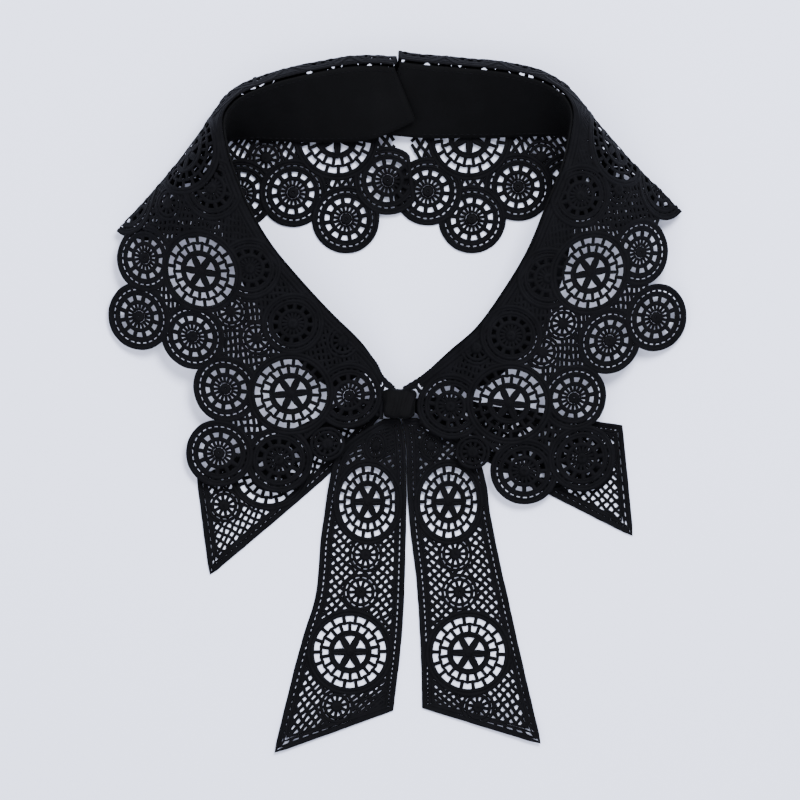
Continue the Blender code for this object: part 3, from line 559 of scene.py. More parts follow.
class LacePanel:
    """Collects the cords of one panel as points with a width and a normal, joined by edges."""

    TRIM_STEPS = 7

    def __init__(self, sheet, fullness):
        self.sheet, self.fullness = sheet, fullness
        self.points, self.halves, self.normals, self.edges = [], [], [], []
        self.count = 0
        self.discs = []

    def covered(self, places, sections, discs, share):
        """Which points lie inside any of the discs."""
        hidden = np.zeros(len(places), dtype=bool)
        for middle, section, across, squeeze, radius in discs:
            away = places - middle
            sideways = away @ across
            spread = (away * away).sum(axis=1) - sideways ** 2 + (sideways / squeeze) ** 2
            hidden |= (spread < (radius * share) ** 2) & (np.abs(sections - section) < 3.2)
        return hidden

    def lay(self, u, v, widths, lifts, pairs, discs=(), share=0.97):
        """Lay cords along pairs of points, cut off where one of the discs covers them."""
        shown = ~self.covered(self.sheet.point(u, v), u, discs, share)
        ends = shown[pairs]
        cut = pairs[ends[:, 0] != ends[:, 1]]
        kept_pairs = pairs[ends.all(axis=1)]
        if len(cut):
            cut = np.where(shown[cut[:, :1]], cut, cut[:, ::-1])
            near, far = np.zeros(len(cut)), np.ones(len(cut))
            for _ in range(self.TRIM_STEPS):
                half = (near + far) / 2
                half_u = u[cut[:, 0]] + (u[cut[:, 1]] - u[cut[:, 0]]) * half
                half_v = v[cut[:, 0]] + (v[cut[:, 1]] - v[cut[:, 0]]) * half
                hidden = self.covered(self.sheet.point(half_u, half_v), half_u, discs, share)
                near, far = np.where(hidden, near, half), np.where(hidden, half, far)
            fresh = np.arange(len(cut)) + len(u)
            kept_pairs = np.concatenate([kept_pairs, np.stack([cut[:, 0], fresh], axis=-1)])
            u, v = np.concatenate([u, half_u]), np.concatenate([v, half_v])
            widths = np.concatenate([widths, widths[cut[:, 0]]])
            lifts = np.concatenate([lifts, lifts[cut[:, 0]]])
            shown = np.concatenate([shown, np.ones(len(cut), dtype=bool)])
        index = np.cumsum(shown) - 1 + self.count
        normals = self.sheet.normal(u[shown], v[shown])
        normals = normals * np.where(normals[:, 2:] >= 0, 1.0, -1.0)
        self.points.append(self.sheet.point(u[shown], v[shown]) + normals * lifts[shown, None])
        self.halves.append((widths[shown] + self.fullness) / 2)
        self.normals.append(normals)
        self.edges.append(index[kept_pairs])
        self.count += int(shown.sum())

    def motif(self, kind, centre, radius, squeeze=1.0):
        """Draw a motif, under the ones that are already there."""
        patch = Patch(self.sheet, centre, radius * 1.02)
        paths, widths, lifts, pairs, first = [], [], [], [], 0
        for strand in DRAW[kind](radius):
            count = len(strand.path)
            paths.append(strand.path)
            widths.append(np.full(count, strand.width) if np.ndim(strand.width) == 0
                          else strand.width)
            lifts.append(np.full(count, strand.lift))
            pairs.append(chain(count, strand.closed, first))
            first += count
        u, v = patch.place(np.concatenate(paths) * (squeeze, 1.0))
        widths = np.concatenate(widths) * ragged(first, 0.07, centre[0])
        self.lay(u, v, widths, np.concatenate(lifts), np.concatenate(pairs), self.discs)
        self.discs.append((patch.middle, patch.section, patch.across, squeeze, radius))

    def flat_cords(self, lines, width, lift=0.0, discs=(), share=0.97, closed=False):
        """Lay cords along lines that are drawn on the flat cloth."""
        places = np.concatenate([np.asarray(line, float) for line in lines])
        firsts = np.cumsum([0] + [len(line) for line in lines])
        pairs = np.concatenate([chain(len(line), closed, first)
                                for line, first in zip(lines, firsts)])
        u, v = self.sheet.unflat(places)
        widths = width * ragged(len(places), 0.09)
        self.lay(u, v, widths, np.full(len(places), lift), pairs, discs, share)

    def net(self, outline, pitch, width, margin):
        """Fill what the motifs leave free inside the outline with a net of diamonds."""
        low, high = outline.min(axis=0), outline.max(axis=0)
        reach = int((high - low).sum() / pitch) + 2
        fine = 4
        stride = pitch / math.sqrt(2) / fine
        steps = np.arange(0.0, high[1] - low[1] + stride, stride)
        lines = []
        for slope in (1.0, -1.0):
            for k in range(-reach, reach):
                start_x = low[0] + k * pitch * math.sqrt(2)
                line = np.stack([start_x + slope * steps, low[1] + steps], axis=-1)
                line += 0.32 * np.sin(line[:, ::-1] * 0.83) + 0.22 * np.cos(line * 1.37)
                keep = inside(line, outline) & (line[:, 1] > margin)
                keep &= (line[:, 0] > 0) & (line[:, 0] < self.sheet.run[-1])
                for part in np.split(np.arange(len(line)), np.nonzero(~keep)[0]):
                    part = part[keep[part]]
                    if len(part) > 1:
                        wanted = part % fine == 0
                        wanted[[0, -1]] = True
                        lines.append(line[part[wanted]])
        self.flat_cords(lines, width, 0.0, self.discs, 0.95)

    def rail(self, offset, width, lift, stop, bumps=0.0):
        """A cord that follows the first edge of the sheet at an offset, up to a section."""
        end = self.sheet.run[int(stop * self.sheet.STEPS)]
        xs = np.arange(0.4, end - 0.4, 0.75 if bumps else 2.5)
        swell = 1.0 + bumps * np.sin(xs * 2 * math.pi / 2.25)
        u, v = self.sheet.unflat(np.stack([xs, np.full(len(xs), offset)], axis=-1))
        self.lay(u, v, width * swell, np.full(len(xs), lift), chain(len(xs)))

    def rungs(self, near, far, width, pitch, stop):
        """Short bars between two rails, up to a section."""
        xs = np.arange(1.0, self.sheet.run[int(stop * self.sheet.STEPS)] - 0.6, pitch)
        self.flat_cords([[(x, near), (x, far)] for x in xs], width)

    def skeleton(self, name):
        """The cords as one mesh of points and edges, in metres."""
        points = (np.concatenate(self.points) - BASE_MIDDLE) * MM
        mesh = bpy.data.meshes.new(name)
        mesh.from_pydata(points.tolist(), np.concatenate(self.edges).tolist(), [])
        half = mesh.attributes.new("cord_half", "FLOAT", "POINT")
        half.data.foreach_set("value", (np.concatenate(self.halves) * MM).astype(np.float32))
        normal = mesh.attributes.new("cord_normal", "FLOAT_VECTOR", "POINT")
        flat = np.concatenate(self.normals).astype(np.float32).ravel()
        normal.data.foreach_set("vector", flat)
        return mesh


def cord_tree(material, sides, flatness):
    """The node tree that gives every path of a skeleton its flattened cord."""
    tree = bpy.data.node_groups.new("lace_cords", "GeometryNodeTree")
    face = tree.interface
    face.new_socket("Geometry", in_out="INPUT", socket_type="NodeSocketGeometry")
    sides_in = face.new_socket("Cord sides", in_out="INPUT", socket_type="NodeSocketInt")
    flat_in = face.new_socket("Cord flatness", in_out="INPUT", socket_type="NodeSocketFloat")
    thread_in = face.new_socket("Thread", in_out="INPUT", socket_type="NodeSocketMaterial")
    face.new_socket("Geometry", in_out="OUTPUT", socket_type="NodeSocketGeometry")
    nodes, links = tree.nodes, tree.links
    entry = nodes.new("NodeGroupInput")
    leave = nodes.new("NodeGroupOutput")
    curve = nodes.new("GeometryNodeMeshToCurve")
    normal = nodes.new("GeometryNodeSetCurveNormal")
    normal.mode = "FREE"
    heading = nodes.new("GeometryNodeInputNamedAttribute")
    heading.data_type = "FLOAT_VECTOR"
    heading.inputs["Name"].default_value = "cord_normal"
    half = nodes.new("GeometryNodeInputNamedAttribute")
    half.data_type = "FLOAT"
    half.inputs["Name"].default_value = "cord_half"
    length = nodes.new("GeometryNodeSplineParameter")
    keep_length = nodes.new("GeometryNodeStoreNamedAttribute")
    keep_length.data_type = "FLOAT"
    keep_length.domain = "POINT"
    keep_length.inputs["Name"].default_value = "along"
    ring = nodes.new("GeometryNodeCurvePrimitiveCircle")
    ring.inputs["Radius"].default_value = 1.0
    around = nodes.new("GeometryNodeSplineParameter")
    keep_around = nodes.new("GeometryNodeStoreNamedAttribute")
    keep_around.data_type = "FLOAT"
    keep_around.domain = "POINT"
    keep_around.inputs["Name"].default_value = "around"
    squeeze = nodes.new("ShaderNodeCombineXYZ")
    # The ring's corners lie above and below, so its breadth is made up to the full width
    squeeze.inputs["Y"].default_value = 1 / math.cos(math.pi / sides)
    squeeze.inputs["Z"].default_value = 1.0
    shape = nodes.new("GeometryNodeTransform")
    sweep = nodes.new("GeometryNodeCurveToMesh")
    sweep.inputs["Fill Caps"].default_value = True
    smooth = nodes.new("GeometryNodeSetShadeSmooth")
    real = nodes.new("GeometryNodeRealizeInstances")
    coat = nodes.new("GeometryNodeSetMaterial")
    links.new(entry.outputs["Geometry"], curve.inputs["Mesh"])
    links.new(curve.outputs["Curve"], normal.inputs["Curve"])
    links.new(heading.outputs["Attribute"], normal.inputs["Normal"])
    links.new(normal.outputs["Curve"], keep_length.inputs["Geometry"])
    links.new(length.outputs["Length"], keep_length.inputs["Value"])
    links.new(keep_length.outputs["Geometry"], sweep.inputs["Curve"])
    links.new(half.outputs["Attribute"], sweep.inputs["Scale"])
    links.new(entry.outputs["Cord sides"], ring.inputs["Resolution"])
    links.new(ring.outputs["Curve"], keep_around.inputs["Geometry"])
    links.new(around.outputs["Factor"], keep_around.inputs["Value"])
    links.new(keep_around.outputs["Geometry"], shape.inputs["Geometry"])
    links.new(entry.outputs["Cord flatness"], squeeze.inputs["X"])
    links.new(squeeze.outputs["Vector"], shape.inputs["Scale"])
    links.new(shape.outputs["Geometry"], sweep.inputs["Profile Curve"])
    links.new(sweep.outputs["Mesh"], smooth.inputs["Geometry"])
    links.new(smooth.outputs["Geometry"], real.inputs["Geometry"])
    links.new(real.outputs["Geometry"], coat.inputs["Geometry"])
    links.new(entry.outputs["Thread"], coat.inputs["Material"])
    links.new(coat.outputs["Geometry"], leave.inputs["Geometry"])
    values = {sides_in.identifier: sides, flat_in.identifier: flatness,
              thread_in.identifier: material}
    return tree, values


def grown(name, mesh, tree, values, material):
    """Run a node tree on a mesh and keep the result as a plain object."""
    seed = bpy.data.objects.new(name + "_paths", mesh)
    bpy.context.collection.objects.link(seed)
    modifier = seed.modifiers.new("cords", "NODES")
    modifier.node_group = tree
    for identifier, value in values.items():
        modifier[identifier] = value
    graph = bpy.context.evaluated_depsgraph_get()
    result = bpy.data.meshes.new_from_object(seed.evaluated_get(graph), depsgraph=graph)
    seed.modifiers.remove(modifier)
    bpy.data.objects.remove(seed, do_unlink=True)
    result.name = name
    if not len(result.polygons):
        raise RuntimeError(f"{name} has no cords")
    result.materials.clear()
    result.materials.append(material)
    piece = bpy.data.objects.new(name, result)
    bpy.context.collection.objects.link(piece)
    return piece


def node_kit(name):
    """A new material with its shader and short ways to add and join nodes."""
    material = bpy.data.materials.new(name)
    material.use_nodes = True
    tree = material.node_tree
    shader = tree.nodes["Principled BSDF"]

    def add(kind, **settings):
        node = tree.nodes.new(kind)
        for key, value in settings.items():
            setattr(node, key, value)
        return node

    def value(operation, first, second=None):
        node = add("ShaderNodeMath", operation=operation)
        for socket, given in zip(node.inputs, (first, second)):
            if given is None:
                continue
            if isinstance(given, (int, float)):
                socket.default_value = given
            else:
                tree.links.new(given, socket)
        return node.outputs["Value"]

    return material, tree, shader, add, value


def two_tone(tree, add, factor, dark, light):
    """A colour that moves between two tones with a factor."""
    mix = add("ShaderNodeMix", data_type="RGBA")
    tree.links.new(factor, mix.inputs["Factor"])
    mix.inputs["A"].default_value = (*dark, 1.0)
    mix.inputs["B"].default_value = (*light, 1.0)
    return mix.outputs["Result"]


def thread_material(settings):
    """Black embroidery thread: satin stitches lie across each cord, with a painted highlight on their
    crests and painted shade in the grooves between them.
    """
    material, tree, shader, add, value = node_kit("lace_thread")
    along = add("ShaderNodeAttribute", attribute_name="along").outputs["Fac"]
    around = add("ShaderNodeAttribute", attribute_name="around").outputs["Fac"]
    stitch_pitch = 0.00042
    wraps = value("MULTIPLY", along, 2 * math.pi / stitch_pitch)
    skewed = value("ADD", wraps, value("MULTIPLY", around, 2 * math.pi))
    ridges = value("SINE", skewed)
    place = add("ShaderNodeTexCoord").outputs["Object"]
    cloudy = add("ShaderNodeTexNoise")
    cloudy.inputs["Scale"].default_value = 160.0
    cloudy.inputs["Detail"].default_value = 3.0
    tree.links.new(place, cloudy.inputs["Vector"])
    fuzz = add("ShaderNodeTexNoise")
    fuzz.inputs["Scale"].default_value = 2600.0
    fuzz.inputs["Detail"].default_value = 2.0
    tree.links.new(place, fuzz.inputs["Vector"])
    dark = tuple(c * 0.6 for c in settings.lace_colour)
    light = tuple(c * 1.9 for c in settings.lace_colour)
    # Painted highlight and shade: the tone rises on each stitch crest and falls in each groove, on
    # top of a random cloud between two blacks
    cloud_and_relief_shading = value("MULTIPLY_ADD", ridges, 0.16)
    tree.links.new(cloudy.outputs["Fac"], cloud_and_relief_shading.node.inputs[2])
    tree.links.new(two_tone(tree, add, cloud_and_relief_shading, dark, light), shader.inputs["Base Color"])
    rough = value("MULTIPLY_ADD", fuzz.outputs["Fac"], 0.25)
    rough.node.inputs[2].default_value = 0.58
    tree.links.new(rough, shader.inputs["Roughness"])
    height = value("ADD", value("MULTIPLY", ridges, 0.5), fuzz.outputs["Fac"])
    bump = add("ShaderNodeBump")
    bump.inputs["Strength"].default_value = 0.55
    bump.inputs["Distance"].default_value = 0.00012
    tree.links.new(height, bump.inputs["Height"])
    tree.links.new(bump.outputs["Normal"], shader.inputs["Normal"])
    shader.inputs["Sheen Weight"].default_value = 0.003
    shader.inputs["Sheen Roughness"].default_value = 0.4
    shader.inputs["Specular IOR Level"].default_value = 0.03
    return material


def cloth_material(settings, name, pitch):
    """Plain woven black cloth: warp and weft follow the piece's own UV map, in metres; the raised
    crossings of the weave carry a painted highlight and the hollows painted shade.
    """
    material, tree, shader, add, value = node_kit(name)
    uv = add("ShaderNodeUVMap", uv_map="cloth").outputs["UV"]
    parts = add("ShaderNodeSeparateXYZ")
    tree.links.new(uv, parts.inputs["Vector"])
    warp = value("SINE", value("MULTIPLY", parts.outputs["X"], 2 * math.pi / pitch))
    weft = value("SINE", value("MULTIPLY", parts.outputs["Y"], 2 * math.pi / pitch))
    weave = value("MULTIPLY", warp, weft)
    place = add("ShaderNodeTexCoord").outputs["Object"]
    cloudy = add("ShaderNodeTexNoise")
    cloudy.inputs["Scale"].default_value = 90.0
    cloudy.inputs["Detail"].default_value = 4.0
    tree.links.new(place, cloudy.inputs["Vector"])
    fuzz = add("ShaderNodeTexNoise")
    fuzz.inputs["Scale"].default_value = 3200.0
    tree.links.new(place, fuzz.inputs["Vector"])
    dark = tuple(c * 0.65 for c in settings.cloth_colour)
    light = tuple(c * 1.8 for c in settings.cloth_colour)
    # Painted highlight and shade: the tone rises where the weave rises and falls where it sinks, on
    # top of a random cloud between two blacks
    cloud_and_relief_shading = value("MULTIPLY_ADD", weave, 0.2)
    tree.links.new(cloudy.outputs["Fac"], cloud_and_relief_shading.node.inputs[2])
    tree.links.new(two_tone(tree, add, cloud_and_relief_shading, dark, light), shader.inputs["Base Color"])
    rough = value("MULTIPLY_ADD", fuzz.outputs["Fac"], 0.2)
    rough.node.inputs[2].default_value = 0.62
    tree.links.new(rough, shader.inputs["Roughness"])
    bump = add("ShaderNodeBump")
    bump.inputs["Strength"].default_value = 0.5
    bump.inputs["Distance"].default_value = 0.0001
    tree.links.new(value("ADD", weave, fuzz.outputs["Fac"]), bump.inputs["Height"])
    tree.links.new(bump.outputs["Normal"], shader.inputs["Normal"])
    shader.inputs["Sheen Weight"].default_value = 0.003
    shader.inputs["Sheen Roughness"].default_value = 0.5
    shader.inputs["Specular IOR Level"].default_value = 0.05
    return material


def kept(maker, name, *details):
    """A material that is made once and then shared."""
    return bpy.data.materials.get(name) or maker(*details)


def panel_piece(panel, name, settings):
    """Give a panel's paths their cords."""
    thread = kept(thread_material, "lace_thread", settings)
    tree, values = cord_tree(thread, settings.cord_sides, settings.cord_flatness)
    return grown(name, panel.skeleton(name), tree, values, thread)


def declare(piece, node):
    """Put the piece under the root body and hide the solid part that it stands for."""
    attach(piece, "root")
    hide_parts(node)


def fall_panel(sections, motifs, settings):
    """Draw half of the fall: motifs, net, roll-line ladder and end cords."""
    sheet = fall_sheet(sections)
    panel = LacePanel(sheet, settings.fullness / MM)
    edge_line = []
    for motif in motifs:
        centre = sheet.find(motif.x, motif.y, *LAYERS[motif.layer])
        panel.motif(motif.kind, centre, RADII[motif.kind])
        if motif.kind == "edge":
            edge_line.append(centre)
    for centre in INNER_BACK:
        panel.motif("inner", centre, INNER_R)
    stations = np.linspace(0.0, sheet.last, 90)
    roll = [(u, 0.0) for u in stations]
    front_end = FRONT_END + [(15.0, v) for v in np.linspace(0.33, 0.72, 6)]
    back_end = [(0.0, v) for v in np.linspace(0.68, 0.04, 12)]
    trail = roll + front_end + edge_line[::-1] + back_end
    outline = np.array([sheet.flat(np.array([u]), np.array([v]))[0] for u, v in trail])
    panel.net(outline, settings.net_pitch / MM, settings.net_cord / MM, 5.0)
    panel.rail(0.7, 2.0, 0.0, sheet.last, 0.16)
    panel.rail(2.9, 1.7, 0.1, 15.3)
    panel.rail(5.4, 1.3, 0.05, 15.0)
    panel.rungs(0.7, 2.9, 0.95, 1.5, 15.5)
    panel.rungs(2.9, 5.4, 1.25, 1.9, 15.1)
    for end in (front_end, back_end):
        u, v = np.array(end).T
        panel.lay(u, v, np.full(len(u), 1.6), np.full(len(u), 0.05), chain(len(u)), panel.discs)
    path = np.array([sheet.flat(np.array([u]), np.array([v]))[0] for u, v in edge_line])
    share = np.linspace(0.0, 1.0, 12)[:, None]
    lines = [start + (end - start) * share for start, end in zip(path[:-1], path[1:])]
    panel.flat_cords(lines, 1.6, 0.05, panel.discs, 0.97)
    return sheet, panel


def inset(sheet, distance):
    """The closed line that runs a distance inside all four edges of a strip."""
    end = sheet.run[-1]
    xs = np.linspace(distance, end - distance, int(end / 2.5))
    width = np.interp(xs, sheet.run, sheet.length)
    near = np.stack([xs, np.full(len(xs), distance)], axis=-1)
    far = np.stack([xs, width - distance], axis=-1)[::-1]
    tip = np.linspace(near[-1], far[0], 12)[1:-1]
    start = np.linspace(far[-1], near[0], 5)[1:-1]
    return np.concatenate([near, tip, far, start])


def tail_panel(stations, motifs, net_share, settings):
    """Draw one tail: border of two cords with a dashed slit, motifs and net."""
    sheet = tail_sheet(stations)
    panel = LacePanel(sheet, settings.fullness / MM)
    for motif in motifs:
        centre = sheet.find(motif.x, motif.y, 0.0, sheet.last)
        panel.motif(motif.kind, centre, motif.radius, motif.squeeze)
    for distance, width, lift in ((0.75, 1.5, 0.12), (1.75, 1.1, 0.05), (3.3, 1.1, 0.05),
                                  (4.4, 1.0, 0.0)):
        panel.flat_cords([inset(sheet, distance)], width, lift, closed=True)
    near, far = inset(sheet, 1.75), inset(sheet, 3.3)
    panel.flat_cords(list(np.stack([near, far], axis=1)), 1.1)
    cord = settings.net_cord * net_share / MM
    panel.net(inset(sheet, 4.0), settings.net_pitch / MM, cord, 4.0)
    return panel


def shell(name, sheet, thickness, material, steps_u, steps_v):
    """A closed cloth wall on a sheet, with soft edges and a UV map in metres."""
    edge = np.array([0.0, 0.004, 0.014])
    us = np.concatenate([edge, np.linspace(0.03, 0.97, steps_u), 1.0 - edge[::-1]]) * sheet.last
    vs = np.concatenate([edge * 4, np.linspace(0.12, 0.88, steps_v), 1.0 - edge[::-1] * 4])
    u, v = np.meshgrid(us, vs, indexing="ij")
    middle = sheet.point(u, v)
    normal = sheet.normal(u, v)
    flat = sheet.flat(u, v) * MM
    limit = np.minimum.reduce([u / sheet.last * sheet.run[-1], (1 - u / sheet.last) * sheet.run[-1],
                               v * 30.0, (1 - v) * 30.0])
    plump = np.sqrt(np.clip(limit / 0.9, 0.0, 1.0)) * 0.62 + 0.38
    ripple = 0.16 * np.sin(flat[..., 0] / MM * 0.55 + 2.0 * v) * np.sin(v * math.pi)
    half = thickness / MM / 2
    front = middle + normal * (half * plump + ripple)[..., None]
    back = middle - normal * (half * plump - ripple)[..., None]
    rows, columns = u.shape
    count = rows * columns

    def at(i, j, side=0):
        return side * count + i * columns + j

    faces = []
    for i in range(rows - 1):
        for j in range(columns - 1):
            a, b, c, d = at(i, j), at(i + 1, j), at(i + 1, j + 1), at(i, j + 1)
            faces.append((a, b, c, d))
            faces.append((d + count, c + count, b + count, a + count))
    rim = [(i, 0) for i in range(rows)] + [(rows - 1, j) for j in range(1, columns)]
    rim += [(i, columns - 1) for i in range(rows - 2, -1, -1)]
    rim += [(0, j) for j in range(columns - 2, 0, -1)]
    for (i, j), (k, m) in zip(rim, rim[1:] + rim[:1]):
        faces.append((at(k, m), at(i, j), at(i, j, 1), at(k, m, 1)))
    mesh = bpy.data.meshes.new(name)
    places = (np.concatenate([front.reshape(-1, 3), back.reshape(-1, 3)]) - BASE_MIDDLE) * MM
    mesh.from_pydata(places.tolist(), [], faces)
    uv_layer = mesh.uv_layers.new(name="cloth")
    flat = flat.reshape(-1, 2)
    corner = np.zeros(len(mesh.loops), dtype=np.int32)
    mesh.loops.foreach_get("vertex_index", corner)
    uv_layer.data.foreach_set("uv", flat[corner % count].astype(np.float32).ravel())
    mesh.materials.append(material)
    mesh.shade_smooth()
    piece = bpy.data.objects.new(name, mesh)
    bpy.context.collection.objects.link(piece)
    return piece


def stitch_tree(material, pitch, length):
    """The node tree that sews a row of short stitches along each path."""
    tree = bpy.data.node_groups.new("stitch_row", "GeometryNodeTree")
    face = tree.interface
    face.new_socket("Geometry", in_out="INPUT", socket_type="NodeSocketGeometry")
    pitch_in = face.new_socket("Stitch pitch", in_out="INPUT", socket_type="NodeSocketFloat")
    length_in = face.new_socket("Stitch length", in_out="INPUT", socket_type="NodeSocketFloat")
    thread_in = face.new_socket("Thread", in_out="INPUT", socket_type="NodeSocketMaterial")
    face.new_socket("Geometry", in_out="OUTPUT", socket_type="NodeSocketGeometry")
    nodes, links = tree.nodes, tree.links
    entry, leave = nodes.new("NodeGroupInput"), nodes.new("NodeGroupOutput")
    curve = nodes.new("GeometryNodeMeshToCurve")
    spaced = nodes.new("GeometryNodeResampleCurve")
    spaced.mode = "LENGTH"
    tangent = nodes.new("GeometryNodeInputTangent")
    turn = nodes.new("FunctionNodeAlignRotationToVector")
    turn.axis = "X"
    stitch = nodes.new("GeometryNodeMeshIcoSphere")
    stitch.inputs["Subdivisions"].default_value = 2
    stretch = nodes.new("ShaderNodeCombineXYZ")
    stretch.inputs["Y"].default_value = 0.00026
    stretch.inputs["Z"].default_value = 0.00026
    stitch.inputs["Radius"].default_value = 1.0
    place = nodes.new("GeometryNodeInstanceOnPoints")
    smooth = nodes.new("GeometryNodeSetShadeSmooth")
    real = nodes.new("GeometryNodeRealizeInstances")
    coat = nodes.new("GeometryNodeSetMaterial")
    links.new(entry.outputs["Geometry"], curve.inputs["Mesh"])
    links.new(curve.outputs["Curve"], spaced.inputs["Curve"])
    links.new(entry.outputs["Stitch pitch"], spaced.inputs["Length"])
    links.new(spaced.outputs["Curve"], place.inputs["Points"])
    links.new(tangent.outputs["Tangent"], turn.inputs["Vector"])
    links.new(turn.outputs["Rotation"], place.inputs["Rotation"])
    links.new(stitch.outputs["Mesh"], place.inputs["Instance"])
    links.new(entry.outputs["Stitch length"], stretch.inputs["X"])
    links.new(stretch.outputs["Vector"], place.inputs["Scale"])
    links.new(place.outputs["Instances"], smooth.inputs["Geometry"])
    links.new(smooth.outputs["Geometry"], real.inputs["Geometry"])
    links.new(real.outputs["Geometry"], coat.inputs["Geometry"])
    links.new(entry.outputs["Thread"], coat.inputs["Material"])
    links.new(coat.outputs["Geometry"], leave.inputs["Geometry"])
    return tree, {pitch_in.identifier: pitch, length_in.identifier: length / 2,
                  thread_in.identifier: material}


def stitch_paths(name, sheet, rows, wall):
    """The lines that a band's stitches follow, on both faces, as a mesh of edges."""
    points, edges = [], []
    for places in rows:
        u, v = sheet.unflat(np.array(places, float))
        middle, normal = sheet.point(u, v), sheet.normal(u, v)
        for side in (-1.0, 1.0):
            first = len(points)
            lifted = middle + normal * side * (wall / MM / 2 - 0.02)
            points += ((lifted - BASE_MIDDLE) * MM).tolist()
            edges += [(first + k, first + k + 1) for k in range(len(places) - 1)]
    mesh = bpy.data.meshes.new(name)
    mesh.from_pydata(points, edges, [])
    return mesh


class COLLAR_OT_fall(bpy.types.Operator):
    """Make half of the lace fall"""
    bl_idname = "collar.fall"
    bl_label = "Fall"

    left: bpy.props.BoolProperty(name="Left half", description="Which half to make", default=True)

    def execute(self, context):
        settings = context.scene.collar_settings
        side = "left" if self.left else "right"
        table = FALL_LEFT if self.left else FALL_RIGHT
        motifs = MOTIFS_LEFT if self.left else MOTIFS_RIGHT
        sheet, panel = fall_panel(table, motifs, settings)
        piece = panel_piece(panel, f"fall_{side}_lace", settings)
        declare(piece, f"fall_{side}")
        return {"FINISHED"}


class COLLAR_OT_tail(bpy.types.Operator):
    """Make one of the four lace tails"""
    bl_idname = "collar.tail"
    bl_label = "Tail"

    name: bpy.props.StringProperty(name="Tail", description="Which tail to make",
                                   default="tail_long_left")

    def execute(self, context):
        settings = context.scene.collar_settings
        stations, motifs, flat, area, net_share = TAILS[self.name]
        panel = tail_panel(stations, motifs, net_share, settings)
        piece = panel_piece(panel, f"{self.name}_lace", settings)
        declare(piece, self.name)
        return {"FINISHED"}


class COLLAR_OT_band(bpy.types.Operator):
    """Make half of the cloth neckband with its topstitching"""
    bl_idname = "collar.band"
    bl_label = "Neckband"

    left: bpy.props.BoolProperty(name="Left half", description="Which half to make", default=True)

    def execute(self, context):
        settings = context.scene.collar_settings
        side = "left" if self.left else "right"
        fall = fall_sheet(FALL_LEFT if self.left else FALL_RIGHT)
        sheet = band_sheet(fall, SEAM_LEFT if self.left else SEAM_RIGHT)
        cloth = kept(cloth_material, "band_cloth", settings, "band_cloth", 0.0007)
        piece = shell(f"band_{side}_cloth", sheet, settings.band_wall, cloth, 150, 22)
        declare(piece, f"band_{side}")
        xs = np.arange(2.2, sheet.run[-1] - 2.0, 2.0)
        width = np.interp(xs, sheet.run, sheet.length)
        rows = [np.stack([xs, np.full(len(xs), 2.0)], axis=-1),
                np.stack([xs, width - 2.0], axis=-1)]
        ys = np.linspace(2.0, sheet.length[0] - 2.0, 16)
        rows.append(np.stack([np.full(len(ys), 2.2), ys], axis=-1))
        thread = kept(thread_material, "lace_thread", settings)
        tree, values = stitch_tree(thread, settings.stitch_pitch, settings.stitch_pitch * 0.74)
        paths = stitch_paths(f"band_{side}_seams", sheet, rows, settings.band_wall)
        stitches = grown(f"band_{side}_stitches", paths, tree, values, thread)
        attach(stitches, "root")
        return {"FINISHED"}


def knot_place(ball):
    """Where a point of a ball lies on the knot: a rounded block with a wrap and pleats on top."""
    block = ball / (np.abs(ball) ** KNOT_SQUARENESS).sum() ** (1 / KNOT_SQUARENESS)
    slant = block[0] - PLEAT_SLANT * block[1]
    wrap = WRAP_RISE * math.exp(-((block[0] + PLEAT_SLANT * block[1]) / WRAP_BREADTH) ** 2)
    pleat = PLEAT_RISE * math.cos(PLEAT_PITCH * slant)
    crease = CREASE_RISE * math.cos(CREASE_PITCH * slant + 2 * block[1])
    swell = 1.0 + (wrap + pleat + crease) * max(block[2], 0.0) - KNOT_SHRINK
    breadth = min(swell, 1.0)
    back = max(block[1], 0.0)
    spread = 1.0 + KNOT_SPREAD * back ** 2
    reach = 1.0 + KNOT_REACH * back ** 2
    return KNOT_CENTRE + KNOT_HALF * block * np.array([breadth * spread, breadth * reach, swell])


class COLLAR_OT_knot(bpy.types.Operator):
    """Make the front knot"""
    bl_idname = "collar.knot"
    bl_label = "Knot"

    def execute(self, context):
        settings = context.scene.collar_settings
        work = bmesh.new()
        uv = work.loops.layers.uv.new("cloth")
        bmesh.ops.create_uvsphere(work, u_segments=128, v_segments=80, radius=1.0)
        for vert in work.verts:
            vert.co = (knot_place(np.array(vert.co)) - BASE_MIDDLE) * MM
        for found in work.faces:
            found.smooth = True
            for loop in found.loops:
                loop[uv].uv = (loop.vert.co.x + loop.vert.co.z, loop.vert.co.y)
        mesh = bpy.data.meshes.new("knot_cloth")
        work.to_mesh(mesh)
        work.free()
        mesh.materials.append(kept(cloth_material, "band_cloth", settings, "band_cloth", 0.0007))
        piece = bpy.data.objects.new("knot_cloth", mesh)
        context.collection.objects.link(piece)
        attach(piece, "root")
        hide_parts("knot")
        return {"FINISHED"}


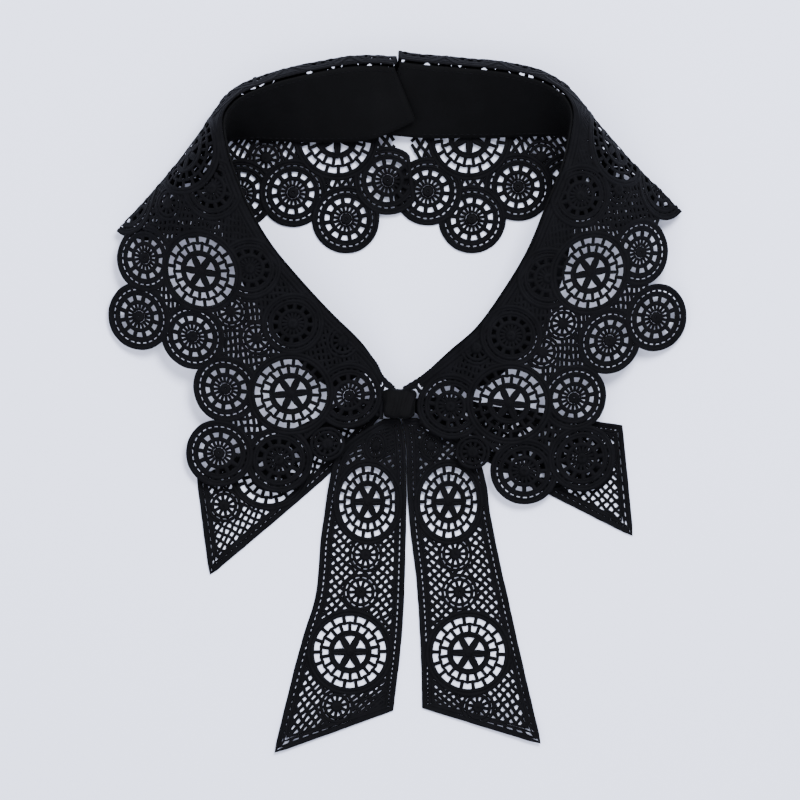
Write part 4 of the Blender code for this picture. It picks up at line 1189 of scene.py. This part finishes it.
class COLLAR_OT_stage(bpy.types.Operator):
    """Make the pale surface, the soft light and the overhead camera"""
    bl_idname = "collar.stage"
    bl_label = "Stage"

    def execute(self, context):
        settings = context.scene.collar_settings
        bpy.ops.mesh.primitive_plane_add(size=6.0, location=(0.0, 0.0, 0.0))
        floor = context.object
        floor.name = "pale_surface"
        material, tree, shader, add, value = node_kit("pale_surface")
        shader.inputs["Base Color"].default_value = (*settings.floor_colour, 1.0)
        shader.inputs["Roughness"].default_value = 0.6
        floor.data.materials.append(material)
        lights = [
            ("key_light", (0.35, 0.75, 1.6), 0.6, 62.0), ("fill_light", (-0.6, -0.3, 1.7), 1.4, 20.0),
        ]
        for name, place, size, power in lights:
            light = bpy.data.lights.new(name, "AREA")
            light.size = size
            light.energy = power
            light.color = (0.95, 0.97, 1.0)
            holder = bpy.data.objects.new(name, light)
            holder.location = place
            direction = -np.array(place)
            flat = math.hypot(direction[0], direction[1])
            holder.rotation_euler = (math.atan2(flat, -direction[2]), 0.0,
                                     math.atan2(direction[1], direction[0]) - math.pi / 2)
            context.collection.objects.link(holder)
        world = bpy.data.worlds.new("soft_room")
        world.use_nodes = True
        world.node_tree.nodes["Background"].inputs["Color"].default_value = (0.90, 0.92, 1.0, 1.0)
        world.node_tree.nodes["Background"].inputs["Strength"].default_value = 1.25
        context.scene.world = world
        camera = bpy.data.cameras.new("overhead")
        width = FRAME_PIXELS * MM_PER_PIXEL * MM
        camera.sensor_width = SENSOR
        camera.lens = SENSOR * CAMERA_HEIGHT / width
        camera.clip_end = 20.0
        holder = bpy.data.objects.new("overhead", camera)
        middle = (np.array([*FRAME_MIDDLE, 0.0]) - BASE_MIDDLE) * MM
        holder.location = (middle[0], middle[1], CAMERA_HEIGHT)
        context.collection.objects.link(holder)
        context.scene.camera = holder
        return {"FINISHED"}


# Flat cuts, metres: length, depth and area of each panel; a tail's last value is how wide
# the cord of its net is, as a share of the falls'
TAILS = {
    "tail_long_left": (TAIL_LONG_LEFT, MOTIFS_LONG_LEFT, (0.150, 0.042), 0.0048, 1.0),
    "tail_long_right": (TAIL_LONG_RIGHT, MOTIFS_LONG_RIGHT, (0.150, 0.042), 0.0047, 1.0),
    "tail_short_left": (TAIL_SHORT_LEFT, MOTIFS_SHORT_LEFT, (0.092, 0.042), 0.0023, 0.82),
    "tail_short_right": (TAIL_SHORT_RIGHT, MOTIFS_SHORT_RIGHT, (0.095, 0.045), 0.0026, 0.82),
}


class COLLAR_PT_panel(bpy.types.Panel):
    """Lists the collar's pieces in the sidebar"""
    bl_idname = "COLLAR_PT_panel"
    bl_label = "Lace collar"
    bl_space_type = "VIEW_3D"
    bl_region_type = "UI"
    bl_category = "Collar"

    def draw(self, context):
        settings = context.scene.collar_settings
        column = self.layout.column()
        for name in settings.__annotations__:
            column.prop(settings, name)
        for left, words in ((True, "left"), (False, "right")):
            column.operator("collar.fall", text=f"Fall, {words}").left = left
            column.operator("collar.band", text=f"Neckband, {words}").left = left
        for name in TAILS:
            column.operator("collar.tail", text=name.replace("_", " ")).name = name
        column.operator("collar.knot")
        column.operator("collar.stage")


CLASSES = (
    CollarSettings, COLLAR_OT_fall, COLLAR_OT_tail, COLLAR_OT_band, COLLAR_OT_knot,
    COLLAR_OT_stage, COLLAR_PT_panel,
)


def register():
    for cls in CLASSES:
        bpy.utils.register_class(cls)
    bpy.types.Scene.collar_settings = bpy.props.PointerProperty(type=CollarSettings)


def unregister():
    del bpy.types.Scene.collar_settings
    for cls in reversed(CLASSES):
        bpy.utils.unregister_class(cls)


def main():
    """Register the tools and make every piece in order."""
    register()
    bpy.ops.collar.stage()
    for left in (True, False):
        bpy.ops.collar.fall(left=left)
        bpy.ops.collar.band(left=left)
    for name in TAILS:
        bpy.ops.collar.tail(name=name)
    bpy.ops.collar.knot()


if __name__ == "__main__":
    main()
